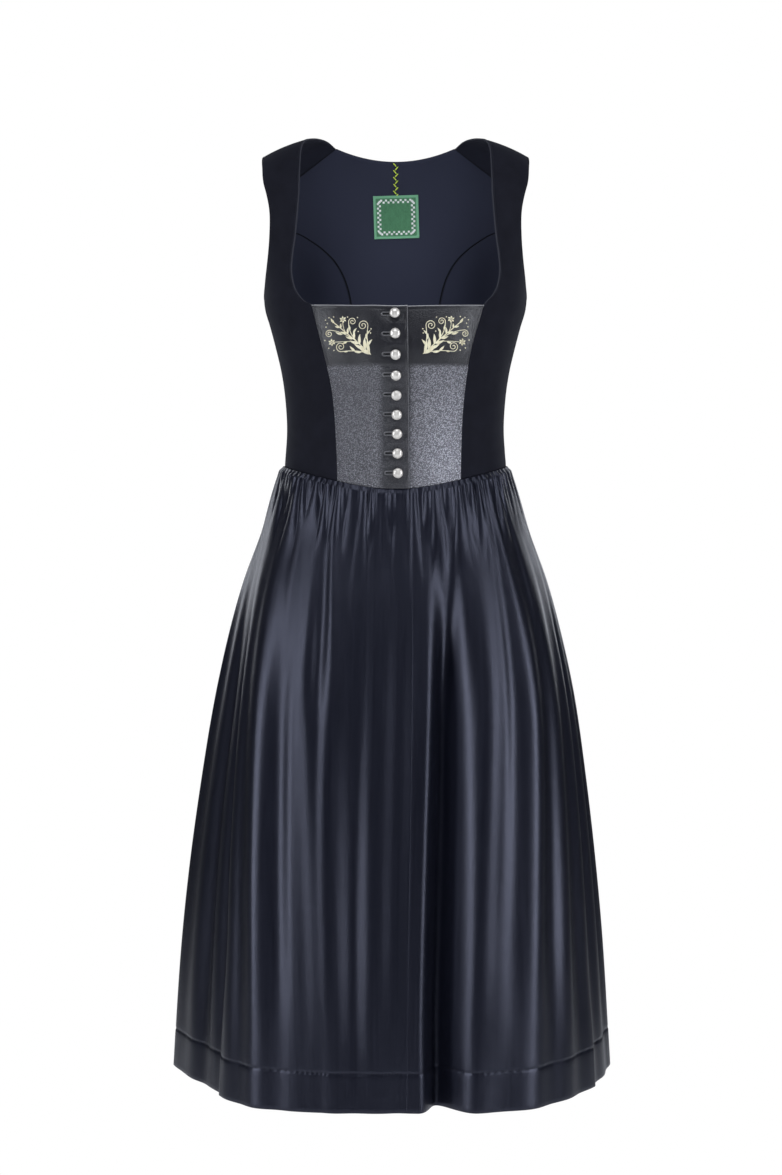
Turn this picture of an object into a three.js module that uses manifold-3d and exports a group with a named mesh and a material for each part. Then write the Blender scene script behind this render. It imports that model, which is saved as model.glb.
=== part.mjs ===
import * as THREE from "three";
import { mergeVertices } from "three/addons/utils/BufferGeometryUtils.js";
import Module from "manifold-3d";

// A sleeveless dirndl dress, filled out as it is when it is worn: millimetres, +Z up, the front
// faces -Y and +X is the wearer's left. The origin lies midway between the two shoulder crests.
// Angles run round the body from the centre front (0) past the wearer's left side to the back.

const wasm = await Module();
wasm.setup();

// Driving sizes
const clothWall = 2;
const leatherWall = 1.8;
const skirtWall = 1.5;
const seamGap = 0.3;
const shoulderGap = { front: 0.25, back: 0.2 }; // each side's distance from the shoulder seam
const skirtDrop = 0.2; // from the waist seam down to the skirt's top edge
const bodiceRadius = 120; // about the reach of the bodice, which turns a gap into an angle
const waistRadius = 95; // the same for the skirt's top edge
const waistZ = -366;
const waistDip = 24; // how far the waist seam drops at the centre front
const hemZ = -1038;
const hemTurnUp = 42; // height of the turned-up hem, which is one cloth thicker
const hemExtraWall = 1.2;
const sideSeam = 92; // degrees round from the centre front
const frontSeamX = 15; // the skirt's front seam lies under the edge of the upper leather front
const labelSize = { width: 52, height: 49, wall: 0.8, gap: 0.4, x: 1, z: -80, turn: 0.03 };
const button = { radius: 5.6, depth: 6.4, standOff: 0.8, footGap: 0.5, shankRadius: 1.2, sides: 10 };
// The button's outline turns through these angles; lowerShare of its depth lies below its widest place.
const buttonOutline = { turns: [-50, -15, 20, 50, 75], lowerShare: 0.42 };
const buttonhole = { length: 16, height: 3.1, fromX: -14 };

// The body form that the bodice lies on, a row for each level.
// A power of 2 is an ellipse, and a larger one is squarer.
const formSections = [
  { z: -395, halfWidth: 124.5, front: 95.2, back: 87, frontPower: 2.3, backPower: 2.3 },
  { z: -366, halfWidth: 123.5, front: 98, back: 85, frontPower: 2.3, backPower: 2.3 },
  { z: -326, halfWidth: 121, front: 102, back: 83, frontPower: 2.35, backPower: 2.3 },
  { z: -290, halfWidth: 123, front: 111, back: 86, frontPower: 2.4, backPower: 2.3 },
  { z: -262, halfWidth: 127, front: 121.5, back: 90, frontPower: 2.45, backPower: 2.35 },
  { z: -238, halfWidth: 132.5, front: 127, back: 94, frontPower: 2.45, backPower: 2.4 },
  { z: -212, halfWidth: 139.3, front: 125, back: 97, frontPower: 2.4, backPower: 2.4 },
  { z: -192, halfWidth: 145, front: 120.5, back: 99, frontPower: 2.35, backPower: 2.45 },
  { z: -165, halfWidth: 147, front: 114, back: 100, frontPower: 2.3, backPower: 2.5 },
  { z: -115, halfWidth: 151, front: 104, back: 98, frontPower: 2.2, backPower: 2.5 },
  { z: -86, halfWidth: 154, front: 94, back: 96, frontPower: 2.2, backPower: 2.5 },
  { z: -55, halfWidth: 158, front: 80, back: 92, frontPower: 2.2, backPower: 2.45 },
  { z: -30, halfWidth: 160, front: 64, back: 87, frontPower: 2.2, backPower: 2.4 },
  { z: -3, halfWidth: 156, front: 45, back: 79, frontPower: 2.2, backPower: 2.3 },
];

// Rows of the front, from the waist to the leather's top corner. The seam between leather and
// cloth lies at rightX or leftX from the centre, at height seamZ; sideZ is the same row's height
// at the side seam, and centreZ at the centre front.
const frontRows = [
  { seamZ: -383, rightX: 63.3, leftX: 70.9, sideZ: -366, centreZ: -390 },
  { seamZ: -350, rightX: 64.3, leftX: 71.4, sideZ: -335, centreZ: -355 },
  { seamZ: -318, rightX: 65.8, leftX: 72.6, sideZ: -305, centreZ: -322 },
  { seamZ: -290, rightX: 68.2, leftX: 74.6, sideZ: -278, centreZ: -293 },
  { seamZ: -266, rightX: 72.4, leftX: 77.3, sideZ: -254, centreZ: -269 },
  { seamZ: -245, rightX: 77.6, leftX: 80.4, sideZ: -232, centreZ: -247.5 },
  { seamZ: -222, rightX: 83.4, leftX: 86.2, sideZ: -210, centreZ: -224.5 },
  { seamZ: -205, rightX: 87.6, leftX: 91.8, sideZ: -193, centreZ: -207.5 },
  { seamZ: -192, rightX: 90.8, leftX: 95.4, sideZ: -182, centreZ: -194.5 },
];

// Rows of the strap in front: its neck edge by neckX and neckZ, its armhole edge by armY and armZ.
const strapRows = [
  { neckX: 97, neckZ: -188.5, armY: -7, armZ: -180.5 },
  { neckX: 103.5, neckZ: -182, armY: -17, armZ: -176.5 },
  { neckX: 109.6, neckZ: -171, armY: -27, armZ: -169 },
  { neckX: 112.6, neckZ: -155, armY: -36, armZ: -156 },
  { neckX: 111.8, neckZ: -139, armY: -43, armZ: -139 },
  { neckX: 108.6, neckZ: -115, armY: -47, armZ: -115 },
  { neckX: 106, neckZ: -86, armY: -46, armZ: -86 },
  { neckX: 104.5, neckZ: -56, armY: -35, armZ: -54 },
];

// Rows of the strap over the shoulder, to the seam behind it. crown is how far a row's middle
// stands out of the straight line between its ends.
const shoulderRows = [
  { neckX: 104, neckY: -49, neckZ: -33, armX: 147.5, armY: -23, armZ: -37, crown: 3.5 },
  { neckX: 103.2, neckY: -30, neckZ: -15, armX: 148.5, armY: -9, armZ: -27.5, crown: 2.5 },
  { neckX: 100, neckY: -9, neckZ: -5, armX: 148, armY: 6, armZ: -22.5, crown: 2 },
  { neckX: 94, neckY: 12, neckZ: -0.5, armX: 146.5, armY: 20, armZ: -24, crown: 2.5 },
  { neckX: 86, neckY: 33, neckZ: 2, armX: 144.5, armY: 34, armZ: -31, crown: 4 },
  { neckX: 77, neckY: 55, neckZ: 1.5, armX: 141, armY: 46, armZ: -41, crown: 5.5 },
];
const shoulderSeam = { neckX: 68.4, neckZ: -4, armX: 137, armZ: -57 };

// Rows of the back. The curved seam between centre and side panel lies at seamX, seamZ, and
// centreZ is the row's height at the centre back. The side panel's other edge is the side seam
// where armY is null, and the armhole above it.
const backRows = [
  { seamX: 38, seamZ: -366, sideZ: -366, armY: null, centreZ: -366 },
  { seamX: 38.6, seamZ: -335, sideZ: -335, armY: null, centreZ: -333 },
  { seamX: 39.8, seamZ: -305, sideZ: -305, armY: null, centreZ: -300 },
  { seamX: 41.3, seamZ: -278, sideZ: -278, armY: null, centreZ: -270 },
  { seamX: 43.2, seamZ: -254, sideZ: -254, armY: null, centreZ: -243 },
  { seamX: 45.2, seamZ: -232, sideZ: -232, armY: null, centreZ: -218 },
  { seamX: 47.6, seamZ: -210, sideZ: -210, armY: null, centreZ: -193 },
  { seamX: 49.6, seamZ: -193, sideZ: -193, armY: null, centreZ: -173 },
  { seamX: 51.5, seamZ: -178, sideZ: -182, armY: null, centreZ: -155 },
  { seamX: 54.8, seamZ: -163, sideZ: -178, armY: 16, centreZ: -138 },
  { seamX: 60.6, seamZ: -147, sideZ: -168, armY: 32, centreZ: -121 },
  { seamX: 70.5, seamZ: -131, sideZ: -152, armY: 46, centreZ: -105 },
  { seamX: 84, seamZ: -118, sideZ: -134, armY: 55, centreZ: -90 },
  { seamX: 98, seamZ: -108.5, sideZ: -118, armY: 60, centreZ: -77 },
  { seamX: 111.5, seamZ: -101.5, sideZ: -107, armY: 62, centreZ: -65 },
  { seamX: 126, seamZ: -97.5, sideZ: -100, armY: 63, centreZ: -54 },
];
// Above the side panel the centre panel's edge is the armhole.
const backArmRows = [
  { edgeX: 131.5, edgeZ: -86, centreZ: -43 },
  { edgeX: 134, edgeZ: -71, centreZ: -31 },
  { edgeX: 137, edgeZ: -57, centreZ: -18 },
];

// How far the skirt stands out from the waist seam, by the share of the way down to the hem.
// shift moves the whole skirt sideways.
const skirtGrowth = [
  { way: 0, side: 0, front: 0, back: 0, shift: 0 },
  { way: 0.022, side: 4.5, front: 2, back: 7, shift: 0 },
  { way: 0.09, side: 21.5, front: 16, back: 29, shift: 0 },
  { way: 0.19, side: 46.5, front: 40, back: 57, shift: 0 },
  { way: 0.29, side: 65, front: 61, back: 78, shift: -0.5 },
  { way: 0.39, side: 79.5, front: 78, back: 92, shift: -1 },
  { way: 0.52, side: 93, front: 95, back: 106, shift: -2 },
  { way: 0.66, side: 105, front: 111, back: 118, shift: -3 },
  { way: 0.8, side: 114, front: 124, back: 127, shift: -3.5 },
  { way: 1, side: 122.5, front: 137, back: 135, shift: -4 },
];
const skirtRows = [0, 0.008, 0.03, 0.06, 0.1, 0.16, 0.25, 0.36, 0.5, 0.65, 0.8, 0.938, 1];

// The skirt's long folds: the ridges' angles at waist and hem in degrees, how far each stands out
// of the skirt's round at the hem, and the depth of the valley that follows it. A larger power
// makes that valley narrower.
const foldRidges = [
  { waist: -92, hem: -85, out: 0, valley: 4, power: 1 },
  { waist: -85, hem: -70, out: -11, valley: 5, power: 1.1 },
  { waist: -77, hem: -57, out: -13, valley: 5, power: 1.3 },
  { waist: -69, hem: -45, out: 4, valley: 5, power: 1 },
  { waist: -60, hem: -35, out: 14, valley: 6, power: 1.2 },
  { waist: -48, hem: -24.5, out: 8, valley: 7, power: 1.3 },
  { waist: -30, hem: -14.5, out: 4, valley: 6, power: 1 },
  { waist: -10, hem: -4.5, out: 0, valley: 6, power: 1.5 },
  { waist: 15, hem: 6.5, out: 0, valley: 36, power: 1.2 },
  { waist: 44, hem: 21.5, out: 12, valley: 8, power: 1 },
  { waist: 59, hem: 35, out: 20, valley: 7, power: 1.2 },
  { waist: 70, hem: 48, out: 11, valley: 6, power: 1 },
  { waist: 79, hem: 60, out: 2, valley: 5, power: 1.2 },
  { waist: 87, hem: 73, out: -2, valley: 6, power: 1 },
  { waist: 95, hem: 86, out: 0, valley: 9, power: 1 },
  { waist: 104, hem: 98, out: 0, valley: 8, power: 1.3 },
  { waist: 113, hem: 109, out: 0, valley: 11, power: 1 },
  { waist: 123, hem: 120, out: 0, valley: 9, power: 1.2 },
  { waist: 134, hem: 132, out: 0, valley: 12, power: 1 },
  { waist: 146, hem: 145, out: 0, valley: 10, power: 1.1 },
  { waist: 158, hem: 157, out: 0, valley: 13, power: 1 },
  { waist: 170, hem: 170, out: 0, valley: 9, power: 1.3 },
  { waist: 182, hem: 183, out: 0, valley: 12, power: 1 },
  { waist: 194, hem: 195, out: 0, valley: 10, power: 1.1 },
  { waist: 205, hem: 207, out: 0, valley: 12, power: 1 },
  { waist: 216, hem: 219, out: 0, valley: 9, power: 1.2 },
  { waist: 228, hem: 231, out: 0, valley: 11, power: 1 },
  { waist: 240, hem: 244, out: 0, valley: 8, power: 1.2 },
  { waist: 251, hem: 257, out: 0, valley: 9, power: 1 },
  { waist: 260, hem: 267, out: 0, valley: 6, power: 1.1 },
  { waist: 268, hem: 275, out: 0, valley: 0, power: 1 },
];
const foldsFrom = 0.03; // the folds grow between these shares of the way down
const foldsFull = 0.42;

// The small gathers under the waist seam: none across the plain centre front.
const gatherStart = 33; // degrees round from the centre front
const gathersInFront = 13; // on each side of the centre front
const gathersBehind = 39;
const plainColumns = 7; // columns of the plain stretch on each side of the front seam
const gatherHeights = [
  { way: 0, height: 0.8 },
  { way: 0.008, height: 2 },
  { way: 0.03, height: 2.1 },
  { way: 0.06, height: 1.7 },
  { way: 0.1, height: 0.9 },
  { way: 0.16, height: 0.3 },
  { way: 0.25, height: 0 },
  { way: 1, height: 0 },
];

// The leather fronts: the right one ends at edgeX and is lifted over the left one's button stand.
const closing = {
  edgeTopX: 12.6,
  edgeWaistX: 14.8,
  standX: -18,
  liftFromX: -44,
  liftFullX: -21,
  lift: leatherWall + 0.4,
};
const buttonCount = 9;
const buttons = { topX: -1, waistX: 2.4, topZ: -203.5, waistZ: -372.5 };

const finishes = {
  cloth: new THREE.MeshStandardMaterial({ color: 0x20212a, roughness: 0.9, metalness: 0 }),
  leather: new THREE.MeshStandardMaterial({ color: 0x3a3a41, roughness: 0.45, metalness: 0 }),
  satin: new THREE.MeshStandardMaterial({ color: 0x24263a, roughness: 0.35, metalness: 0 }),
  pearl: new THREE.MeshStandardMaterial({ color: 0xe6e2da, roughness: 0.15, metalness: 0 }),
  label: new THREE.MeshStandardMaterial({ color: 0x3b6b47, roughness: 0.8, metalness: 0 }),
};

const dress = new THREE.Group();
dress.name = "dirndl_dress";

const { lerp, clamp, smoothstep, degToRad } = THREE.MathUtils;

// Every column of a table at one value of its key column, on a smooth curve through the rows.
function readTable(table, key, value) {
  const rows = table[0][key] < table[table.length - 1][key] ? table : [...table].reverse();
  const found = rows.findIndex((row) => row[key] >= value);
  const index = found < 0 ? rows.length - 1 : Math.max(found, 1);
  const low = rows[index - 1];
  const high = rows[index];
  const before = rows[index - 2] ?? low;
  const after = rows[index + 1] ?? high;
  const span = high[key] - low[key];
  const s = clamp((value - low[key]) / span, 0, 1);
  const result = {};
  for (const column of Object.keys(low)) {
    const slopeLow = ((high[column] - before[column]) / (high[key] - before[key])) * span;
    const slopeHigh = ((after[column] - low[column]) / (after[key] - low[key])) * span;
    result[column] =
      (2 * s ** 3 - 3 * s ** 2 + 1) * low[column] +
      (s ** 3 - 2 * s ** 2 + s) * slopeLow +
      (3 * s ** 2 - 2 * s ** 3) * high[column] +
      (s ** 3 - s ** 2) * slopeHigh;
  }
  return result;
}

function waistSeamZ(angle) {
  const ahead = Math.max(Math.cos(angle), 0);
  return waistZ - waistDip * ahead ** 2;
}

// The distance from the body's axis to the form, at an angle round it.
function formReach(angle, z) {
  const section = readTable(formSections, "z", z);
  const ahead = Math.cos(angle);
  const depth = ahead >= 0 ? section.front : section.back;
  const power = ahead >= 0 ? section.frontPower : section.backPower;
  const sideways = Math.abs(Math.sin(angle)) / section.halfWidth;
  const forwards = Math.abs(ahead) / depth;
  return (sideways ** power + forwards ** power) ** (-1 / power);
}

function formPoint(angle, z) {
  const reach = formReach(angle, z);
  return new THREE.Vector3(reach * Math.sin(angle), -reach * Math.cos(angle), z);
}

function formFrontY(x, z) {
  const { halfWidth, front, frontPower } = readTable(formSections, "z", z);
  return -front * (1 - (Math.abs(x) / halfWidth) ** frontPower) ** (1 / frontPower);
}

function formBackY(x, z) {
  const { halfWidth, back, backPower } = readTable(formSections, "z", z);
  return back * (1 - (Math.abs(x) / halfWidth) ** backPower) ** (1 / backPower);
}

function formSideX(y, z) {
  const section = readTable(formSections, "z", z);
  const depth = y < 0 ? section.front : section.back;
  const power = y < 0 ? section.frontPower : section.backPower;
  return section.halfWidth * (1 - (Math.abs(y) / depth) ** power) ** (1 / power);
}

function angleOf(x, y) {
  return Math.atan2(x, -y);
}

// The outward normal of a surface given by a function of angle and height.
function surfaceNormal(surface, angle, z, angleStep = 0.004, zStep = 0.5) {
  const round = surface(angle + angleStep, z).sub(surface(angle - angleStep, z));
  const up = surface(angle, z + zStep).sub(surface(angle, z - zStep));
  return round.cross(up).normalize();
}

function formSpot(angle, z, lift = 0) {
  const normal = surfaceNormal(formPoint, angle, z);
  return { point: formPoint(angle, z).addScaledVector(normal, lift), normal };
}

// A closed wall from rows of spots, each a point on the outside and the normal there.
function wallGeometry(rows, wallOf) {
  const columns = rows[0].length;
  const positions = [];
  for (const side of [0, 1]) {
    rows.forEach((row, r) => {
      for (const spot of row) {
        positions.push(...spot.point.clone().addScaledVector(spot.normal, -side * wallOf(r)));
      }
    });
  }
  const inside = rows.length * columns;
  const at = (r, c) => r * columns + c;
  const faces = [];
  const quad = (a, b, c, d) => faces.push(a, b, c, a, c, d);
  for (let r = 0; r + 1 < rows.length; r++) {
    for (let c = 0; c + 1 < columns; c++) {
      quad(at(r, c), at(r, c + 1), at(r + 1, c + 1), at(r + 1, c));
      quad(inside + at(r, c), inside + at(r + 1, c), inside + at(r + 1, c + 1), inside + at(r, c + 1));
    }
    const last = columns - 1;
    quad(at(r, 0), at(r + 1, 0), inside + at(r + 1, 0), inside + at(r, 0));
    quad(at(r, last), inside + at(r, last), inside + at(r + 1, last), at(r + 1, last));
  }
  for (let c = 0; c + 1 < columns; c++) {
    const top = rows.length - 1;
    quad(at(0, c), inside + at(0, c), inside + at(0, c + 1), at(0, c + 1));
    quad(at(top, c), at(top, c + 1), inside + at(top, c + 1), inside + at(top, c));
  }
  const geometry = new THREE.BufferGeometry();
  geometry.setAttribute("position", new THREE.Float32BufferAttribute(positions, 3));
  geometry.setIndex(faces);
  return outwards(geometry);
}

const mergeDistance = 1e-4; // vertices this close are one

// Turns a closed mesh so that its faces point out.
function outwards(geometry) {
  const p = geometry.getAttribute("position");
  const index = geometry.getIndex();
  const a = new THREE.Vector3();
  const b = new THREE.Vector3();
  const c = new THREE.Vector3();
  let volume = 0;
  for (let i = 0; i < index.count; i += 3) {
    a.fromBufferAttribute(p, index.getX(i));
    b.fromBufferAttribute(p, index.getX(i + 1));
    c.fromBufferAttribute(p, index.getX(i + 2));
    volume += a.dot(b.clone().cross(c));
  }
  if (volume < 0) {
    for (let i = 0; i < index.count; i += 3) {
      const second = index.getX(i + 1);
      index.setX(i + 1, index.getX(i + 2));
      index.setX(i + 2, second);
    }
  }
  geometry.computeVertexNormals();
  return geometry;
}

function addPiece(name, geometry, finish) {
  const mesh = new THREE.Mesh(geometry, finish);
  mesh.name = name;
  dress.add(mesh);
}

function mirrored(rows, side) {
  const flip = new THREE.Vector3(side, 1, 1);
  return rows.map((row) =>
    row.map(({ point, normal }) => ({
      point: point.clone().multiply(flip),
      normal: normal.clone().multiply(flip),
    })),
  );
}

// A row of spots on the form between two angles and heights. The lowest row follows the waist seam.
function formRow(from, to, columns, atWaist) {
  const row = [];
  for (let c = 0; c <= columns; c++) {
    const angle = lerp(from.angle, to.angle, c / columns);
    const z = atWaist ? waistSeamZ(angle) + seamGap / 2 : lerp(from.z, to.z, c / columns);
    row.push(formSpot(angle, z));
  }
  return row;
}

const halfGapAngle = seamGap / 2 / bodiceRadius;
const sideSeamAngle = degToRad(sideSeam);

// The front side panels, from the waist over the shoulder to the seam behind it
const frontSideColumns = 7;

function frontSideRows(seamColumn) {
  const rows = frontRows.map((row, index) => {
    const seamX = row[seamColumn];
    const from = { angle: angleOf(seamX, formFrontY(seamX, row.seamZ)) + halfGapAngle, z: row.seamZ };
    const to = { angle: sideSeamAngle - halfGapAngle, z: row.sideZ };
    return formRow(from, to, frontSideColumns, index === 0);
  });
  for (const row of strapRows) {
    const from = { angle: angleOf(row.neckX, formFrontY(row.neckX, row.neckZ)), z: row.neckZ };
    const to = { angle: angleOf(formSideX(row.armY, row.armZ), row.armY), z: row.armZ };
    rows.push(formRow(from, to, frontSideColumns, false));
  }
  const seamRow = shoulderSeamSpots(frontSideColumns, shoulderGap.front);
  return [...rows, ...overShoulder(rows[rows.length - 1], seamRow), seamRow];
}

// Spots along the shoulder seam, from the neck to the armhole.
function shoulderSeamSpots(columns, raise) {
  const row = [];
  for (let c = 0; c <= columns; c++) {
    const x = lerp(shoulderSeam.neckX, shoulderSeam.armX, c / columns);
    const z = lerp(shoulderSeam.neckZ, shoulderSeam.armZ, c / columns) + raise;
    row.push(formSpot(angleOf(x, formBackY(x, z)), z));
  }
  return row;
}

// The strap's rows over the shoulder, between the last row in front and the seam behind.
function overShoulder(firstRow, lastRow) {
  const ends = [
    { neck: firstRow[0].point, arm: firstRow[frontSideColumns].point },
    ...shoulderRows.map((row) => ({
      neck: new THREE.Vector3(row.neckX, row.neckY, row.neckZ),
      arm: new THREE.Vector3(row.armX, row.armY, row.armZ),
      crown: row.crown,
    })),
    { neck: lastRow[0].point, arm: lastRow[frontSideColumns].point },
  ];
  const straight = (end, share) => end.neck.clone().lerp(end.arm, share);
  return shoulderRows.map((_, index) => {
    const [before, here, after] = ends.slice(index, index + 3);
    const across = here.arm.clone().sub(here.neck);
    const spots = [];
    for (let c = 0; c <= frontSideColumns; c++) {
      const share = c / frontSideColumns;
      const along = straight(after, share).sub(straight(before, share));
      const normal = across.clone().cross(along).normalize();
      const crown = here.crown * 4 * share * (1 - share);
      spots.push({ point: straight(here, share).addScaledVector(normal, crown), normal });
    }
    return spots;
  });
}

const clothSheet = (rows) => wallGeometry(rows, () => clothWall);
addPiece("front_side_right", clothSheet(mirrored(frontSideRows("rightX"), -1)), finishes.cloth);
addPiece("front_side_left", clothSheet(frontSideRows("leftX")), finishes.cloth);

// The leather fronts, the right one over the left one

function leatherSpot(x, z, lift) {
  return formSpot(angleOf(x, formFrontY(x, z)), z, lift);
}

function leatherRows(seamX, endX, columns, liftAt) {
  return frontRows.map((row, index) => {
    const spots = [];
    for (let c = 0; c <= columns; c++) {
      const share = c / columns;
      const x = lerp(seamX(row), endX(index / (frontRows.length - 1)), share);
      const flatZ = lerp(row.seamZ, row.centreZ, clamp(1 - Math.abs(x) / Math.abs(seamX(row)), 0, 1));
      const onWaist = waistSeamZ(angleOf(x, formFrontY(x, flatZ))) + seamGap / 2;
      spots.push(leatherSpot(x, index === 0 ? onWaist : flatZ, liftAt(x)));
    }
    return spots;
  });
}

function liftOfRight(x) {
  return closing.lift * smoothstep(x, closing.liftFromX, closing.liftFullX);
}

const leatherColumns = 10;
const leatherLeft = leatherRows(
  (row) => row.leftX - seamGap / 2,
  () => closing.standX,
  leatherColumns,
  () => 0,
);
const leatherRight = leatherRows(
  (row) => -row.rightX + seamGap / 2,
  (up) => lerp(closing.edgeWaistX, closing.edgeTopX, up),
  leatherColumns,
  liftOfRight,
);

// A frame on the front whose Z points straight out of the leather, at a distance from the form.
function frontFrame(x, z, out) {
  const spot = leatherSpot(x, z, out);
  const across = new THREE.Vector3(1, 0, 0).addScaledVector(spot.normal, -spot.normal.x).normalize();
  const up = spot.normal.clone().cross(across);
  return new THREE.Matrix4().makeBasis(across, up, spot.normal).setPosition(spot.point);
}

function toManifold(geometry) {
  const bare = geometry.clone();
  bare.deleteAttribute("normal");
  bare.deleteAttribute("uv");
  const merged = mergeVertices(bare, mergeDistance);
  return new wasm.Manifold(
    new wasm.Mesh({
      numProp: 3,
      vertProperties: new Float32Array(merged.getAttribute("position").array),
      triVerts: new Uint32Array(merged.getIndex().array),
    }),
  );
}

function fromManifold(solid) {
  const mesh = solid.getMesh();
  const geometry = new THREE.BufferGeometry();
  geometry.setAttribute("position", new THREE.BufferAttribute(new Float32Array(mesh.vertProperties), 3));
  geometry.setIndex(new THREE.BufferAttribute(new Uint32Array(mesh.triVerts), 1));
  geometry.computeVertexNormals();
  return geometry;
}

function buttonPlace(index) {
  const down = index / (buttonCount - 1);
  return { x: lerp(buttons.topX, buttons.waistX, down), z: lerp(buttons.topZ, buttons.waistZ, down) };
}

function buttonholeCutter(index) {
  const { x, z } = buttonPlace(index);
  const radius = buttonhole.height / 2;
  const outline = new THREE.Shape();
  outline.absarc(buttonhole.fromX + radius, 0, radius, Math.PI / 2, -Math.PI / 2, false);
  outline.absarc(buttonhole.fromX + buttonhole.length - radius, 0, radius, -Math.PI / 2, Math.PI / 2, false);
  outline.closePath();
  const depth = 3 * leatherWall;
  const cutter = new THREE.ExtrudeGeometry(outline, { depth, bevelEnabled: false, curveSegments: 2 });
  cutter.translate(0, 0, -depth / 2);
  cutter.applyMatrix4(frontFrame(x, z, closing.lift - leatherWall / 2));
  return cutter;
}

let rightFront = toManifold(wallGeometry(leatherRight, () => leatherWall));
for (let index = 0; index < buttonCount; index++) {
  rightFront = rightFront.subtract(toManifold(buttonholeCutter(index)));
}
addPiece("leather_front_right", fromManifold(rightFront), finishes.leather);
addPiece("leather_front_left", wallGeometry(leatherLeft, () => leatherWall), finishes.leather);

// The pearl buttons: a dome on a shank that passes through the buttonhole
function buttonGeometry() {
  const foot = button.footGap;
  const back = closing.lift + button.standOff;
  const profile = [new THREE.Vector2(0, foot), new THREE.Vector2(button.shankRadius, foot)];
  profile.push(new THREE.Vector2(button.shankRadius, back));
  const middle = back + button.depth * buttonOutline.lowerShare;
  for (const turn of buttonOutline.turns) {
    const angle = degToRad(turn);
    const half = button.depth * (turn < 0 ? buttonOutline.lowerShare : 1 - buttonOutline.lowerShare);
    profile.push(new THREE.Vector2(button.radius * Math.cos(angle), middle + half * Math.sin(angle)));
  }
  profile.push(new THREE.Vector2(0, back + button.depth));
  const turned = withoutExtras(new THREE.LatheGeometry(profile, button.sides));
  const geometry = mergeVertices(turned, mergeDistance);
  geometry.rotateX(Math.PI / 2);
  return outwards(withoutFlatTriangles(geometry));
}

function withoutExtras(geometry) {
  geometry.deleteAttribute("normal");
  geometry.deleteAttribute("uv");
  return geometry;
}

// Leaves out triangles that merging has closed to a line at the axis.
function withoutFlatTriangles(geometry) {
  const old = geometry.getIndex().array;
  const kept = [];
  for (let i = 0; i < old.length; i += 3) {
    const [a, b, c] = old.slice(i, i + 3);
    if (a !== b && b !== c && c !== a) kept.push(a, b, c);
  }
  geometry.setIndex(kept);
  return geometry;
}

for (let index = 0; index < buttonCount; index++) {
  const { x, z } = buttonPlace(index);
  addPiece(`button_${index + 1}`, buttonGeometry().applyMatrix4(frontFrame(x, z, 0)), finishes.pearl);
}

// The back side panels, with the armhole as their upper edge
const backSideColumns = 6;

function backSideRows() {
  return backRows.map((row, index) => {
    const from = { angle: angleOf(row.seamX, formBackY(row.seamX, row.seamZ)) - halfGapAngle, z: row.seamZ };
    const outer =
      row.armY === null ? sideSeamAngle + halfGapAngle : angleOf(formSideX(row.armY, row.sideZ), row.armY);
    return formRow(from, { angle: outer, z: row.sideZ }, backSideColumns, index === 0);
  });
}

addPiece("back_side_right", clothSheet(mirrored(backSideRows(), -1)), finishes.cloth);
addPiece("back_side_left", clothSheet(backSideRows()), finishes.cloth);

// The centre back, up to the neckline and the two shoulder seams
const halfBackColumns = 8;
const necklineFromRow = 9; // from this row up the rows turn towards the neckline

// How a row rises from the centre to the edge: plain rows follow a parabola, and the highest
// follows the neckline and then the shoulder seam.
function backRise(share, upward) {
  const edge = backArmRows[backArmRows.length - 1];
  const neckShare = shoulderSeam.neckX / shoulderSeam.armX;
  const drop = edge.edgeZ - edge.centreZ;
  const atNeck = (shoulderSeam.neckZ - edge.centreZ) / drop;
  const top =
    share < neckShare
      ? atNeck * (share / neckShare) ** 2
      : lerp(atNeck, 1, (share - neckShare) / (1 - neckShare));
  return lerp(share ** 2, top, upward);
}

function backCentreRows() {
  const edges = [
    ...backRows.map((row) => ({ x: row.seamX, z: row.seamZ, centreZ: row.centreZ })),
    ...backArmRows.map((row) => ({ x: row.edgeX, z: row.edgeZ, centreZ: row.centreZ })),
  ];
  const last = edges.length - 1;
  return edges.map((edge, index) => {
    const spots = [];
    for (let c = -halfBackColumns; c <= halfBackColumns; c++) {
      const share = Math.abs(c) / halfBackColumns;
      const x = (edge.x * c) / halfBackColumns;
      const upward = smoothstep(index, necklineFromRow, last);
      let z = edge.centreZ + (edge.z - edge.centreZ) * backRise(share, upward);
      if (index === 0) z = waistZ + seamGap / 2;
      if (index === last) z -= shoulderGap.back;
      const angle = angleOf(x, formBackY(x, z));
      const inset = share === 1 && index < backRows.length ? halfGapAngle * Math.sign(c) : 0;
      spots.push(formSpot(angle + inset, z));
    }
    return spots;
  });
}

addPiece("back_centre", clothSheet(backCentreRows()), finishes.cloth);

// The woven label, sewn inside the centre back
function labelRows() {
  const steps = 6;
  const rows = [];
  for (let r = 0; r <= steps; r++) {
    const row = [];
    for (let c = 0; c <= steps; c++) {
      const across = labelSize.width * (c / steps - 0.5);
      const up = labelSize.height * (r / steps - 0.5);
      const x = labelSize.x + across * Math.cos(labelSize.turn) - up * Math.sin(labelSize.turn);
      const z = labelSize.z + up * Math.cos(labelSize.turn) + across * Math.sin(labelSize.turn);
      row.push(formSpot(angleOf(x, formBackY(x, z)), z, -clothWall - labelSize.gap));
    }
    rows.push(row);
  }
  return rows;
}

addPiece("neck_label", wallGeometry(labelRows(), () => labelSize.wall), finishes.label);

// The skirt

// The skirt's threads are named by their angle at the waist, in degrees, and spread towards the
// hem as the folds do.
function threadAngle(thread, way) {
  const spread = readTable(skirtGrowth, "way", way).front / skirtGrowth[skirtGrowth.length - 1].front;
  return degToRad(lerp(thread, readTable(foldRidges, "waist", thread).hem, spread));
}

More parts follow.
